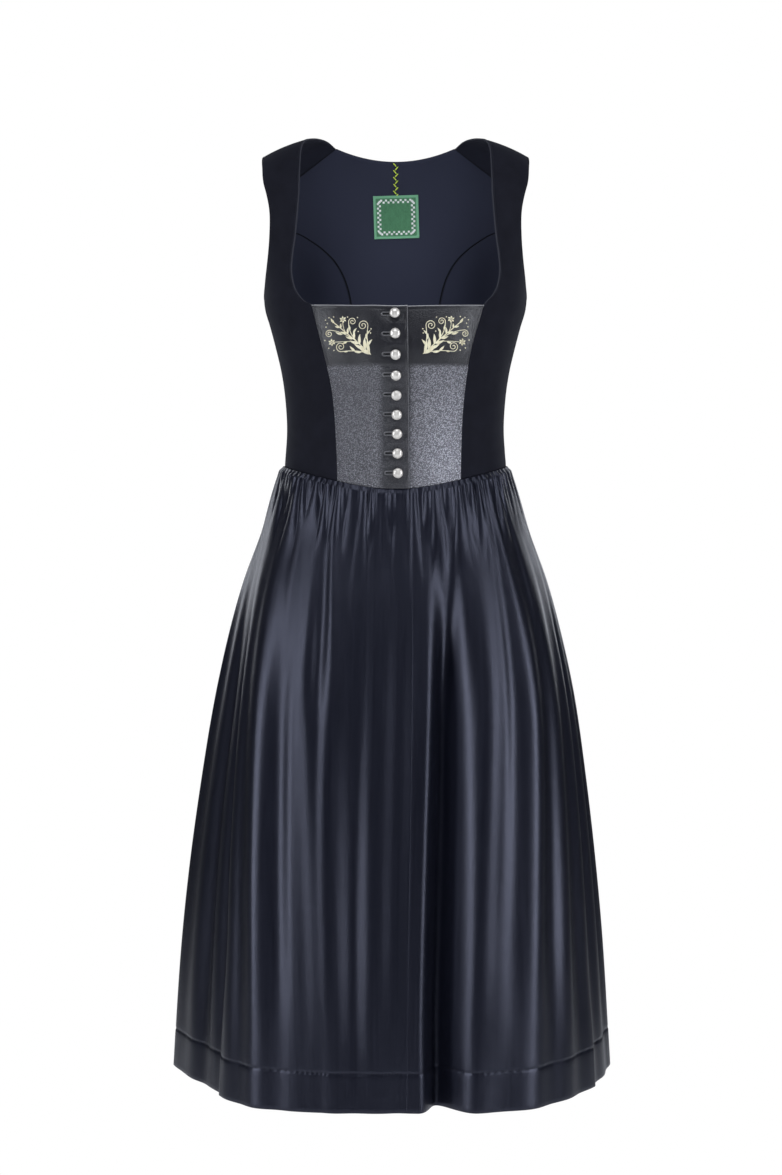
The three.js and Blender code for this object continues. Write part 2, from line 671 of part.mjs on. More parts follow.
// How far the folds move the cloth out at a thread: the valleys are negative.
function foldOut(thread, way) {
  const grown = smoothstep(way, foldsFrom, foldsFull);
  const { out } = readTable(foldRidges, "waist", thread);
  const index = Math.max(foldRidges.findLastIndex((ridge) => ridge.waist <= thread), 0);
  const ridge = foldRidges[index];
  const next = foldRidges[index + 1];
  if (!next) return grown * out;
  const share = clamp((thread - ridge.waist) / (next.waist - ridge.waist), 0, 1);
  const valley = ridge.valley * ((1 - Math.cos(2 * Math.PI * share)) / 2) ** ridge.power;
  return grown * (out - valley);
}

// The smooth skirt without its gathers, at a thread and a share of the way down.
function skirtPoint(thread, way) {
  const angle = threadAngle(thread, way);
  const top = waistSeamZ(degToRad(thread)) - skirtDrop;
  const growth = readTable(skirtGrowth, "way", way);
  const ahead = Math.cos(angle);
  const along = ahead >= 0 ? growth.front : growth.back;
  const stand = lerp(growth.side, along, ahead ** 2);
  const reach = formReach(angle, top) + stand + foldOut(thread, way);
  const x = reach * Math.sin(angle) + growth.shift;
  return new THREE.Vector3(x, -reach * Math.cos(angle), lerp(top, hemZ, way));
}

const normalSteps = { thread: 0.35, way: 0.002 };

function skirtNormal(thread, way) {
  const inside = clamp(way, normalSteps.way, 1 - normalSteps.way);
  return surfaceNormal(skirtPoint, thread, inside, normalSteps.thread, -normalSteps.way);
}

// Columns of one stretch of a panel: each gather is a trough and a crest, so its columns alternate.
function gatheredStretch(from, to, gathers) {
  const count = 2 * gathers;
  return Array.from({ length: count }, (_, c) => ({ thread: lerp(from, to, c / count), crest: c % 2 }));
}

function plainStretch(from, to) {
  const threadOf = (c) => lerp(from, to, c / plainColumns);
  return Array.from({ length: plainColumns }, (_, c) => ({ thread: threadOf(c), crest: 0 }));
}

function skirtPanel(columns) {
  return skirtRows.map((way) =>
    columns.map(({ thread, crest }) => {
      const normal = skirtNormal(thread, way);
      const { height } = readTable(gatherHeights, "way", way);
      return { point: skirtPoint(thread, way).addScaledVector(normal, height * crest), normal };
    }),
  );
}

function skirtWallOf(row) {
  const inTurnUp = skirtRows[row] > 1 - hemTurnUp / (waistZ - hemZ);
  return inTurnUp ? skirtWall + hemExtraWall : skirtWall;
}

// Draws a panel's two edge columns in by half the seam gap.
function withSeamGaps(columns) {
  const last = columns.length - 1;
  return columns.map((column, index) => {
    if (index === 0) return { ...column, thread: column.thread + seamGapDegrees / 2 };
    if (index === last) return { ...column, thread: column.thread - seamGapDegrees / 2 };
    return column;
  });
}

const seamGapDegrees = THREE.MathUtils.radToDeg(seamGap / waistRadius);
const frontSeam = THREE.MathUtils.radToDeg(angleOf(frontSeamX, formFrontY(frontSeamX, waistZ - waistDip)));
const behind = 360 - sideSeam;
const skirtPanels = {
  skirt_front_right: [
    ...gatheredStretch(-sideSeam, -gatherStart, gathersInFront),
    ...plainStretch(-gatherStart, frontSeam),
    { thread: frontSeam, crest: 0 },
  ],
  skirt_front_left: [
    ...plainStretch(frontSeam, gatherStart),
    ...gatheredStretch(gatherStart, sideSeam, gathersInFront),
    { thread: sideSeam, crest: 0 },
  ],
  skirt_back: [...gatheredStretch(sideSeam, behind, gathersBehind), { thread: behind, crest: 0 }],
};
for (const [name, columns] of Object.entries(skirtPanels)) {
  addPiece(name, wallGeometry(skirtPanel(withSeamGaps(columns)), skirtWallOf), finishes.satin);
}

export default dress;
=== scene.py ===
# A sleeveless dirndl dress, filled out as it is when it is worn.
# Sizes in the tables are millimetres in the dress's own frame: +Z up, the front faces -Y, +X is the
# wearer's left, and the origin lies midway between the shoulder crests. addShell and addMesh turn
# them into metres. Angles run round the body from the centre front past the wearer's left side.
import math

import bpy
import numpy as np
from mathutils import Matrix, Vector


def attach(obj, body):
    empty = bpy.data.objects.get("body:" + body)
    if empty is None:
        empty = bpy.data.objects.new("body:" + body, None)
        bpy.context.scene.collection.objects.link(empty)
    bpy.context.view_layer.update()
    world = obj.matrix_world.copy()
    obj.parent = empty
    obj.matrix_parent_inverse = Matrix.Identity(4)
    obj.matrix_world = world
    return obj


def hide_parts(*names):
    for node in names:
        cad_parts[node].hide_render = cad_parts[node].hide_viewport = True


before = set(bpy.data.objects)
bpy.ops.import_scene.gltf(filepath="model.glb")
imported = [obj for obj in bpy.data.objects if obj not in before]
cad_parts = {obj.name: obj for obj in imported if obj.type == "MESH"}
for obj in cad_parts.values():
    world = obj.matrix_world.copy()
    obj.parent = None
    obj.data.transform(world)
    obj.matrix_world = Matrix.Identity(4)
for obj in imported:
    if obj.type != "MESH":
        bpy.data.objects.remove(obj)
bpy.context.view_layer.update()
print("frame loaded:", len(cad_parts), "nodes")

metre = 0.001  # one millimetre
girth = 120  # millimetres of the bodice to a radian round it
leavesForm = 12  # millimetres over which a strap leaves the body form


# Reading the tables

def makeTable(columns, rows):
    return dict(zip(columns.split(), np.array(rows, dtype=float).T))


def tableRows(table):
    return [dict(zip(table, row)) for row in zip(*table.values())]


# A smooth curve through rows of values, read at new keys.
def smoothThrough(keys, values, at):
    at = np.asarray(at, dtype=float)
    high = np.clip(np.searchsorted(keys, at), 1, len(keys) - 1)
    low = high - 1
    before = np.maximum(low - 1, 0)
    after = np.minimum(high + 1, len(keys) - 1)
    deep = (...,) + (None,) * (values.ndim - 1)
    span = (keys[high] - keys[low])[deep]
    s = np.clip((at - keys[low]) / (keys[high] - keys[low]), 0, 1)[deep]
    slopeLow = (values[high] - values[before]) / (keys[high] - keys[before])[deep] * span
    slopeHigh = (values[after] - values[low]) / (keys[after] - keys[low])[deep] * span
    return (
        (2 * s**3 - 3 * s**2 + 1) * values[low]
        + (s**3 - 2 * s**2 + s) * slopeLow
        + (3 * s**2 - 2 * s**3) * values[high]
        + (s**3 - s**2) * slopeHigh
    )


def readTable(table, key, at):
    keys = table[key]
    return {name: smoothThrough(keys, column, at) for name, column in table.items()}


def smoothStep(value, low, high):
    s = np.clip((value - low) / (high - low), 0, 1)
    return s * s * (3 - 2 * s)


def lerp(a, b, share):
    return a + (b - a) * share


def bell(distance, width):
    return np.exp(-((distance / width) ** 2))


# Soft unevenness between -1 and 1: a few crossing waves with fixed phases.
def softNoise(p, q, seed):
    draw = np.random.default_rng(seed)
    total = 0
    for _ in range(6):
        turn, phase, rate = draw.uniform(0, 2 * math.pi), draw.uniform(0, 2 * math.pi), draw.uniform(0.6, 1.5)
        total = total + np.sin((p * math.cos(turn) + q * math.sin(turn)) * rate + phase)
    return total / 3.5


# The body form that the bodice lies on

formSections = makeTable("z halfWidth front back frontPower backPower", [
    (-395, 124.5, 95.2, 87, 2.3, 2.3),
    (-366, 123.5, 98, 85, 2.3, 2.3),
    (-326, 121, 102, 83, 2.35, 2.3),
    (-290, 123, 111, 86, 2.4, 2.3),
    (-262, 127, 121.5, 90, 2.45, 2.35),
    (-238, 132.5, 127, 94, 2.45, 2.4),
    (-212, 139.3, 125, 97, 2.4, 2.4),
    (-192, 145, 120.5, 99, 2.35, 2.45),
    (-165, 147, 114, 100, 2.3, 2.5),
    (-115, 151, 104, 98, 2.2, 2.5),
    (-86, 154, 94, 96, 2.2, 2.5),
    (-55, 158, 80, 92, 2.2, 2.45),
    (-30, 160, 64, 87, 2.2, 2.4),
    (-3, 156, 45, 79, 2.2, 2.3),
])
waist = {"z": -366, "dip": 24, "gap": 0.12, "sideSeam": math.radians(92)}


def waistSeamZ(angle):
    return waist["z"] - waist["dip"] * np.maximum(np.cos(angle), 0) ** 2


def formReach(angle, z):
    section = readTable(formSections, "z", z)
    ahead = np.cos(angle)
    depth = np.where(ahead >= 0, section["front"], section["back"])
    power = np.where(ahead >= 0, section["frontPower"], section["backPower"])
    sideways = np.abs(np.sin(angle)) / section["halfWidth"]
    forwards = np.abs(ahead) / depth
    return (sideways**power + forwards**power) ** (-1 / power)


def formPoint(angle, z):
    angle, z = np.broadcast_arrays(np.asarray(angle, dtype=float), np.asarray(z, dtype=float))
    reach = formReach(angle, z)
    return np.stack([reach * np.sin(angle), -reach * np.cos(angle), z], axis=-1)


def formY(x, z, face):
    section = readTable(formSections, "z", z)
    power = section[face + "Power"]
    return section[face] * (1 - (np.abs(x) / section["halfWidth"]) ** power) ** (1 / power)


def formSideX(y, z):
    section = readTable(formSections, "z", z)
    depth = np.where(y < 0, section["front"], section["back"])
    power = np.where(y < 0, section["frontPower"], section["backPower"])
    return section["halfWidth"] * (1 - (np.abs(y) / depth) ** power) ** (1 / power)


def angleOf(x, y):
    return np.arctan2(x, -np.asarray(y, dtype=float))


def frontAngle(x, z):
    return angleOf(x, -formY(x, z, "front"))


def backAngle(x, z):
    return angleOf(x, formY(x, z, "back"))


def unit(vectors):
    return vectors / np.maximum(np.linalg.norm(vectors, axis=-1, keepdims=True), 1e-12)


def formNormal(angle, z, angleStep=0.004, zStep=0.5):
    sideways = formPoint(angle + angleStep, z) - formPoint(angle - angleStep, z)
    upward = formPoint(angle, z + zStep) - formPoint(angle, z - zStep)
    return unit(np.cross(sideways, upward))


def ontoForm(points):
    return formPoint(angleOf(points[..., 0], points[..., 1]), points[..., 2])


# Making meshes

# Places along a length as shares of it, close together over the rounded edge at both ends, and how
# full the wall is at each place. extra gives more places, measured from each end.
def edgePlaces(length, edge, count, extra=(), steps=3):
    length = np.atleast_1d(np.asarray(length, dtype=float))[:, None]
    turns = np.linspace(0, math.pi / 2, steps + 1)
    near = np.concatenate([edge * (1 - np.cos(turns)), extra])[None, :] * np.ones_like(length)
    inner = near[:, -1:]
    middle = inner + (length - 2 * inner) * np.linspace(0, 1, count + 1)[None, 1:-1]
    places = np.concatenate([near, middle, (length - near)[:, ::-1]], axis=1)
    rise = np.concatenate([np.sin(turns), np.ones(len(extra))])
    full = np.concatenate([rise, np.ones(count - 1), rise[::-1]])
    return places / length, full


def gridNormals(points):
    down = np.gradient(points, axis=0)
    across = np.gradient(points, axis=1)
    normals = unit(np.cross(across, down))
    middle = normals.shape[0] // 3
    outward = (normals[middle, :, :2] * points[middle, :, :2]).sum()
    return normals if outward > 0 else -normals


def arcLengths(points, axis):
    steps = np.linalg.norm(np.diff(points, axis=axis), axis=-1)
    zero = np.zeros_like(np.take(steps, [0], axis=axis))
    return np.concatenate([zero, np.cumsum(steps, axis=axis)], axis=axis)


def addMesh(name, vertices, faces, uv=None, rim=None, inside=None):
    mesh = bpy.data.meshes.new(name)
    mesh.from_pydata((np.asarray(vertices) * metre).tolist(), [], faces)
    mesh.polygons.foreach_set("use_smooth", np.ones(len(mesh.polygons), dtype=bool))
    corners = np.empty(len(mesh.loops), dtype=np.int32)
    mesh.loops.foreach_get("vertex_index", corners)
    if uv is not None:
        layer = mesh.uv_layers.new(name="cut")
        layer.data.foreach_set("uv", (np.asarray(uv) * metre)[corners].ravel().astype(np.float32))
    for attribute, values in (("rim", rim), ("inside", inside)):
        if values is not None:
            layer = mesh.attributes.new(attribute, "FLOAT", "POINT")
            layer.data.foreach_set("value", np.asarray(values, dtype=np.float32))
    mesh.update()
    return mesh


def addPiece(name, mesh, material, nodes=()):
    piece = bpy.data.objects.new(name, mesh)
    bpy.context.scene.collection.objects.link(piece)
    mesh.materials.clear()
    mesh.materials.append(material)
    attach(piece, "root")
    if nodes:
        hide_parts(*nodes)
    return piece


# A closed cloth wall round a grid of points on its outside. full is 1 inside the piece and falls to
# 0 at its edges, which rounds them. holes marks cells that are left out.
def addShell(name, outside, normals, wall, full, uv, rim, holes=None, lining=1.0):
    rows, columns = outside.shape[:2]
    half = (np.asarray(wall, dtype=float) / 2 * np.ones((rows, columns)))[..., None]
    middle = outside - normals * half
    swell = normals * half * full[..., None]
    outer = middle + swell
    inner = middle - swell
    outerIndex = np.arange(rows * columns).reshape(rows, columns)
    innerIndex = outerIndex + rows * columns
    for edge in (np.s_[0, :], np.s_[-1, :], np.s_[:, 0], np.s_[:, -1]):
        innerIndex[edge] = outerIndex[edge]
    kept = np.ones((rows - 1, columns - 1), dtype=bool) if holes is None else ~holes

    def quads(index, mask):
        a, b, c, d = index[:-1, :-1], index[:-1, 1:], index[1:, 1:], index[1:, :-1]
        return np.stack([a[mask], b[mask], c[mask], d[mask]], axis=-1)

    first = quads(outerIndex, kept)
    second = quads(innerIndex, kept)[:, ::-1]
    walls = []
    if holes is not None:
        for r, c in np.argwhere(holes):
            for rowStep, columnStep, one, two in ((-1, 0, (0, 0), (0, 1)), (1, 0, (1, 1), (1, 0)),
                                                  (0, -1, (1, 0), (0, 0)), (0, 1, (0, 1), (1, 1))):
                if not kept[r + rowStep, c + columnStep]:
                    continue
                a, b = (r + one[0], c + one[1]), (r + two[0], c + two[1])
                walls.append([outerIndex[a], outerIndex[b], innerIndex[b], innerIndex[a]])
    faces = np.concatenate([first, second] + ([np.array(walls)] if walls else []))
    allPoints = np.concatenate([outer.reshape(-1, 3), inner.reshape(-1, 3)])
    sample = first[len(first) // 2]
    corner = allPoints[sample]
    facing = np.cross(corner[1] - corner[0], corner[2] - corner[0])
    if facing @ normals.reshape(-1, 3)[sample[0]] < 0:
        faces = faces[:, ::-1]
    used, compact = np.unique(faces, return_inverse=True)
    faces = compact.reshape(faces.shape)
    twice = np.concatenate([uv.reshape(-1, 2), uv.reshape(-1, 2)])
    rims = np.concatenate([rim.ravel(), rim.ravel()])
    lined = np.concatenate([np.zeros(rows * columns), np.full(rows * columns, lining)])
    return addMesh(name, allPoints[used], faces.tolist(), twice[used], rims[used], lined[used])


# Faces that join rings of points into a tube, which is closed into a ring or capped at both ends
def tubeFaces(count, sides, ring=False):
    faces = []
    for i in range(count if ring else count - 1):
        j = (i + 1) % count
        for s in range(sides):
            t = (s + 1) % sides
            faces.append([i * sides + s, i * sides + t, j * sides + t, j * sides + s])
    if not ring:
        faces.append(list(range(sides))[::-1])
        faces.append([(count - 1) * sides + s for s in range(sides)])
    return faces


# A tube along a path. radii may change along it.
def tubeParts(path, radii, sides=8, ring=False):
    path = np.asarray(path, dtype=float)
    radii = np.broadcast_to(np.asarray(radii, dtype=float), (len(path),))
    if ring:
        tangents = unit(np.roll(path, -1, 0) - np.roll(path, 1, 0))
    else:
        tangents = unit(np.gradient(path, axis=0))
    outward = unit(np.array([0.0, -1.0, 0.0]) + tangents * tangents[:, 1:2])
    sideways = np.cross(tangents, outward)
    turns = (np.arange(sides) * 2 * math.pi / sides)[None, :, None]
    circle = outward[:, None] * np.cos(turns) + sideways[:, None] * np.sin(turns)
    points = (path[:, None] + circle * radii[:, None, None]).reshape(-1, 3)
    return points, tubeFaces(len(path), sides, ring)


# Adds one piece made of many small closed parts, each of points and faces.
def addParts(name, parts, material, rim=None):
    points, faces, start = [], [], 0
    for partPoints, partFaces in parts:
        points.append(partPoints)
        faces += [[i + start for i in face] for face in partFaces]
        start += len(partPoints)
    points = np.concatenate(points)
    rims = None if rim is None else np.full(len(points), rim)
    return addPiece(name, addMesh(name, points, faces, points[:, [0, 2]], rims), material)


# Turns key rows of points into a fine grid that follows them. It lies on the body form up to the key
# row with the number formEnd, or all over where that isn't given.
def fineGrid(keyRows, edge, count, formEnd=None, extra=()):
    steps = np.linalg.norm(np.diff(keyRows, axis=0), axis=-1).mean(axis=1)
    keys = np.concatenate([[0], np.cumsum(steps)])
    places, full = edgePlaces(keys[-1], edge, count, extra)
    at = places[0] * keys[-1]
    grid = smoothThrough(keys, keyRows, at)
    if formEnd is None:
        onForm = np.ones(len(at))
    else:
        onForm = 1 - smoothStep(at, keys[formEnd] - leavesForm, keys[formEnd])
    grid = lerp(grid, ontoForm(grid), onForm[:, None, None])
    return grid, full, at, keys


# Soft creases along lines on the bodice: q is the length round the form from the centre front. depth
# is positive for a trough.
def creases(angle, z, table):
    q = angle * girth
    moved = np.zeros_like(q)
    for fromQ, fromZ, toQ, toZ, width, depth in zip(*table.values()):
        along = np.array([toQ - fromQ, toZ - fromZ])
        length = np.linalg.norm(along)
        along = along / length
        share = ((q - fromQ) * along[0] + (z - fromZ) * along[1]) / length
        aside = (q - fromQ) * along[1] - (z - fromZ) * along[0]
        taper = smoothStep(share, -0.1, 0.35) * (1 - smoothStep(share, 0.55, 1.1))
        moved = moved - depth * bell(aside, width) * taper
    return moved


# Materials

def newMaterial(name, color, roughness, constants=None):
    material = bpy.data.materials.new(name)
    material.use_nodes = True
    material.diffuse_color = (*color, 1)
    shader = material.node_tree.nodes["Principled BSDF"]
    for socket, value in {"Base Color": (*color, 1), "Roughness": roughness, **(constants or {})}.items():
        shader.inputs[socket].default_value = value
    return material, material.node_tree, shader


def feed(tree, socket, value):
    if isinstance(value, bpy.types.NodeSocket):
        tree.links.new(value, socket)
    else:
        socket.default_value = value


def addNode(tree, kind, links=None, **settings):
    node = tree.nodes.new(kind)
    for name, value in settings.items():
        if hasattr(node, name):
            setattr(node, name, value)
        else:
            node.inputs[name].default_value = value
    for name, source in (links or {}).items():
        tree.links.new(source, node.inputs[name])
    return node


# A mix of two colours, each of them numbers or a socket.
def mixColors(tree, factor, below, above, blend="MIX"):
    node = addNode(tree, "ShaderNodeMix", data_type="RGBA", blend_type=blend)
    for socket, value in ((node.inputs[6], below), (node.inputs[7], above)):
        feed(tree, socket, (*value, 1) if isinstance(value, tuple) else value)
    tree.links.new(factor, node.inputs[0])
    return node.outputs[2]


def rangeNode(tree, source, fromLow, fromHigh, toLow, toHigh, smooth=False):
    node = addNode(tree, "ShaderNodeMapRange", {"Value": source},
                   interpolation_type="SMOOTHSTEP" if smooth else "LINEAR")
    limits = {"From Min": fromLow, "From Max": fromHigh, "To Min": toLow, "To Max": toHigh}
    for socket, value in limits.items():
        node.inputs[socket].default_value = value
    return node.outputs["Result"]


def addMath(tree, operation, one, two):
    node = addNode(tree, "ShaderNodeMath", operation=operation)
    feed(tree, node.inputs[0], one)
    feed(tree, node.inputs[1], two)
    return node.outputs[0]


# A group that reads a place and some numbers, and gives a height and a tone.
def newGroup(name, *numbers):
    group = bpy.data.node_groups.new(name, "ShaderNodeTree")
    group.interface.new_socket(name="Vector", in_out="INPUT", socket_type="NodeSocketVector")
    for number in numbers:
        group.interface.new_socket(name=number, in_out="INPUT", socket_type="NodeSocketFloat")
    for made in ("Height", "Tone"):
        group.interface.new_socket(name=made, in_out="OUTPUT", socket_type="NodeSocketFloat")
    return group, group.nodes.new("NodeGroupInput"), group.nodes.new("NodeGroupOutput")


# Crossing threads on the piece's own cut: threads to a metre each way, and streaks along the warp.
def makeWeaveGroup():
    group, given, result = newGroup("wovenThreads", "Across", "Along", "Streak")
    split = addNode(group, "ShaderNodeSeparateXYZ", {"Vector": given.outputs["Vector"]})
    waves = []
    for axis, rate in (("X", "Across"), ("Y", "Along")):
        scaled = addMath(group, "MULTIPLY", split.outputs[axis], given.outputs[rate])
        turned = addMath(group, "MULTIPLY", scaled, 2 * math.pi)
        waves.append(addMath(group, "SINE", turned, 0))
    threads = addMath(group, "MULTIPLY", waves[0], waves[1])
    low = addMath(group, "MULTIPLY", split.outputs["Y"], given.outputs["Streak"])
    stretched = addNode(group, "ShaderNodeCombineXYZ", {"X": split.outputs["X"], "Y": low})
    streaks = addNode(group, "ShaderNodeTexNoise", {"Vector": stretched.outputs[0]}, Scale=900, Detail=3)
    slubs = addNode(group, "ShaderNodeTexNoise", {"Vector": stretched.outputs[0]}, Scale=210, Detail=2)
    mixed = addMath(group, "ADD", streaks.outputs["Fac"], slubs.outputs["Fac"])
    tone = rangeNode(group, mixed, 0.6, 1.4, 0, 1)
    fine = addMath(group, "MULTIPLY", threads, 0.35)
    group.links.new(addMath(group, "ADD", fine, tone), result.inputs["Height"])
    group.links.new(tone, result.inputs["Tone"])
    return group


# Fine fibres and soft clouds of a brushed wool, by place.
def makeFeltGroup():
    group, given, result = newGroup("feltedFibres", "Scale")
    place = given.outputs["Vector"]
    fibres = addNode(group, "ShaderNodeTexNoise", {"Vector": place, "Scale": given.outputs["Scale"]},
                     Detail=4, Roughness=0.7)
    clouds = addNode(group, "ShaderNodeTexNoise", {"Vector": place}, Scale=55, Detail=3)
    both = addMath(group, "ADD", fibres.outputs["Fac"], clouds.outputs["Fac"])
    group.links.new(fibres.outputs["Fac"], result.inputs["Height"])
    group.links.new(rangeNode(group, both, 0.7, 1.3, 0, 1), result.inputs["Tone"])
    return group


# The pebbles of a leather's grain, drawn out along a slant.
def makeGrainGroup():
    group, given, result = newGroup("leatherGrain", "Scale")
    mapped = addNode(group, "ShaderNodeMapping", {"Vector": given.outputs["Vector"]}, vector_type="TEXTURE",
                     Rotation=(0, math.radians(-38), 0), Scale=(1.7, 1, 0.8))
    slant = mapped.outputs[0]
    blur = addNode(group, "ShaderNodeTexNoise", {"Vector": slant}, Scale=500, Detail=2)
    bent = addNode(group, "ShaderNodeMixRGB", {"Color1": slant, "Color2": blur.outputs["Color"]}, Fac=0.0012)
    cells = addNode(group, "ShaderNodeTexVoronoi",
                    {"Vector": bent.outputs[0], "Scale": given.outputs["Scale"]})
    pebble = rangeNode(group, cells.outputs["Distance"], 0.1, 0.7, 1, 0, True)
    coarse = addNode(group, "ShaderNodeTexNoise", {"Vector": slant}, Scale=620, Detail=3, Roughness=0.7)
    height = addMath(group, "ADD", addMath(group, "MULTIPLY", pebble, 0.8), coarse.outputs["Fac"])
    group.links.new(height, result.inputs["Height"])
    group.links.new(rangeNode(group, height, 0.62, 1.25, 0, 1), result.inputs["Tone"])
    return group


weaveGroup = makeWeaveGroup()
feltGroup = makeFeltGroup()
grainGroup = makeGrainGroup()


def placeGroup(tree, group, vector, **values):
    node = tree.nodes.new("ShaderNodeGroup")
    node.node_tree = group
    for name, value in {"Vector": vector, **values}.items():
        feed(tree, node.inputs[name], value)
    return node


def addBump(tree, shader, height, distance, strength):
    bump = addNode(tree, "ShaderNodeBump", {"Height": height}, Distance=distance, Strength=strength)
    tree.links.new(bump.outputs[0], shader.inputs["Normal"])


def objectPlace(tree):
    return addNode(tree, "ShaderNodeTexCoord").outputs["Object"]


def cutPlace(tree):
    return addNode(tree, "ShaderNodeUVMap", uv_map="cut").outputs[0]


def attribute(tree, name):
    return addNode(tree, "ShaderNodeAttribute", attribute_name=name).outputs["Fac"]


def rimMask(tree, low=0.2, high=1.0):
    return rangeNode(tree, attribute(tree, "rim"), low, high, 0, 1, True)


satinLook = {
    "dark": (0.0030, 0.0034, 0.0068), "light": (0.0062, 0.0068, 0.0120), "roughness": (0.285, 0.36),
    "specular": 0.60, "bump": 0.00006, "tint": (0.74, 0.77, 1.0, 1),
}


def makeSatin():
    material, tree, shader = newMaterial("navySatin", satinLook["dark"], 0.38, {
        "Specular IOR Level": satinLook["specular"], "Specular Tint": satinLook["tint"]})
    weave = placeGroup(tree, weaveGroup, cutPlace(tree), Across=1900.0, Along=1500.0, Streak=0.035)
    tone = weave.outputs["Tone"]
    color = mixColors(tree, tone, satinLook["dark"], satinLook["light"])
    tree.links.new(color, shader.inputs["Base Color"])
    tree.links.new(rangeNode(tree, tone, 0, 1, *satinLook["roughness"]), shader.inputs["Roughness"])
    addBump(tree, shader, weave.outputs["Height"], satinLook["bump"], 0.6)
    return material


# seam is a painted shade laid along the seams.
woolLook = {
    "dark": (0.0036, 0.0038, 0.0076), "light": (0.0072, 0.0076, 0.0134), "edge": (0.030, 0.031, 0.040),
    "lining": (0.0235, 0.0262, 0.0440), "seam": (0.0012, 0.0012, 0.0020),
}


def makeWool():
    material, tree, shader = newMaterial("navyWool", woolLook["dark"], 0.88, {
        "Specular IOR Level": 0.22, "Sheen Weight": 0.03, "Sheen Roughness": 0.5,
        "Sheen Tint": (0.6, 0.63, 0.8, 1)})
    felt = placeGroup(tree, feltGroup, objectPlace(tree), Scale=1100.0)
    base = mixColors(tree, felt.outputs["Tone"], woolLook["dark"], woolLook["light"])
    lined = mixColors(tree, attribute(tree, "inside"), base, woolLook["lining"])
    # Painted shade: the seams are darkened where rim falls below zero.
    seamShaded = mixColors(tree, rimMask(tree, -0.1, -0.9), lined, woolLook["seam"])
    tree.links.new(mixColors(tree, rimMask(tree), seamShaded, woolLook["edge"]), shader.inputs["Base Color"])
    addBump(tree, shader, felt.outputs["Height"], 0.00022, 0.5)
    return material


# Places are metres: the grained field's upper edge, the smooth stand and where it ends beside the
# opening, and the range aside and down over which a painted sheen brightens the field. edge is a
# painted highlight on the rounded rims.
leatherLook = {
    "smooth": (0.0095, 0.0096, 0.0125), "smoothLight": (0.018, 0.018, 0.0225),
    "grainDark": (0.060, 0.060, 0.069), "grainLight": (0.276, 0.276, 0.304), "edge": (0.60, 0.60, 0.62),
    "roughness": (0.31, 0.36), "grain": 0.0010, "paintedSheen": 2.6, "fieldTop": (-0.2545, -0.2620),
    "stand": (-0.022, -0.011), "standEnd": (0.013, 0.017), "standShare": 0.85,
    "paintedSheenAside": (0.010, 0.060, 0.2, 1), "paintedSheenDown": (-0.26, -0.36, 0.35, 1), "paintedSheenFrom": (0.0, 0.02),
}


def makeLeatherFinish():
    material, tree, shader = newMaterial("nappaLeather", leatherLook["smooth"], 0.42,
                                         {"Specular IOR Level": 0.6})

    def multiply(one, two):
        return addMath(tree, "MULTIPLY", one, two)

    place = objectPlace(tree)
    grain = placeGroup(tree, grainGroup, place, Scale=880.0)
    fine = placeGroup(tree, feltGroup, place, Scale=700.0)
    split = addNode(tree, "ShaderNodeSeparateXYZ", {"Vector": place})
    x, z = split.outputs["X"], split.outputs["Z"]
    lower = rangeNode(tree, z, *leatherLook["fieldTop"], 0, 1, True)
    stand = multiply(rangeNode(tree, x, *leatherLook["stand"], 0, 1, True),
                     rangeNode(tree, x, *leatherLook["standEnd"], 1, 0, True))
    field = multiply(lower, addMath(tree, "SUBTRACT", 1, multiply(stand, leatherLook["standShare"])))
    plain = mixColors(tree, fine.outputs["Tone"], leatherLook["smooth"], leatherLook["smoothLight"])
    # The pale grain tone is partly the grain's own colour and partly painted sheen.
    pebbled = mixColors(tree, grain.outputs["Tone"], leatherLook["grainDark"], leatherLook["grainLight"])
    # Painted sheen: the grain is painted paler low on the wearer's left front, where the light shines on it
    # most.
    aside = rangeNode(tree, x, *leatherLook["paintedSheenAside"], True)
    down = rangeNode(tree, z, *leatherLook["paintedSheenDown"])
    paintedSheen = multiply(multiply(aside, down), rangeNode(tree, x, *leatherLook["paintedSheenFrom"], 0, 1))
    withPaintedSheen = mixColors(tree, paintedSheen, pebbled, (leatherLook["paintedSheen"],) * 3, "MULTIPLY")
    # Painted highlight: the rounded rims take the pale edge colour.
    withEdgeHighlight = mixColors(tree, multiply(rimMask(tree, 0.55, 1.0), 0.75),
                     mixColors(tree, field, plain, withPaintedSheen), leatherLook["edge"])
    tree.links.new(withEdgeHighlight, shader.inputs["Base Color"])
    tree.links.new(rangeNode(tree, field, 0, 1, *leatherLook["roughness"]), shader.inputs["Roughness"])
    rough = multiply(grain.outputs["Height"], addMath(tree, "ADD", field, 0.22))
    height = addMath(tree, "ADD", rough, multiply(fine.outputs["Height"], 0.15))
    addBump(tree, shader, height, leatherLook["grain"], 0.8)
    return material


def makePearl():
    material, tree, shader = newMaterial("pearl", (0.78, 0.76, 0.72), 0.16, {
        "Coat Weight": 0.6, "Coat Roughness": 0.06, "Specular IOR Level": 0.7, "Metallic": 0.35})
    clouds = addNode(tree, "ShaderNodeTexNoise", {"Vector": objectPlace(tree)}, Scale=420, Detail=3)
    tree.links.new(mixColors(tree, clouds.outputs["Fac"], (0.62, 0.585, 0.54), (0.86, 0.82, 0.76)),
                   shader.inputs["Base Color"])
    tree.links.new(rangeNode(tree, clouds.outputs["Fac"], 0.3, 0.7, 0.12, 0.24), shader.inputs["Roughness"])
    return material


# Thread and woven pieces: a colour that changes along the strand, with a fine twist.
def makeThread(name, dark, light, roughness, twist, bump, sheen=0.25):
    material, tree, shader = newMaterial(name, dark, roughness, {"Sheen Weight": sheen})
    weave = placeGroup(tree, weaveGroup, objectPlace(tree), Across=twist, Along=twist, Streak=0.6)
    tree.links.new(mixColors(tree, weave.outputs["Tone"], dark, light), shader.inputs["Base Color"])
    addBump(tree, shader, weave.outputs["Height"], bump, 0.7)
    return material


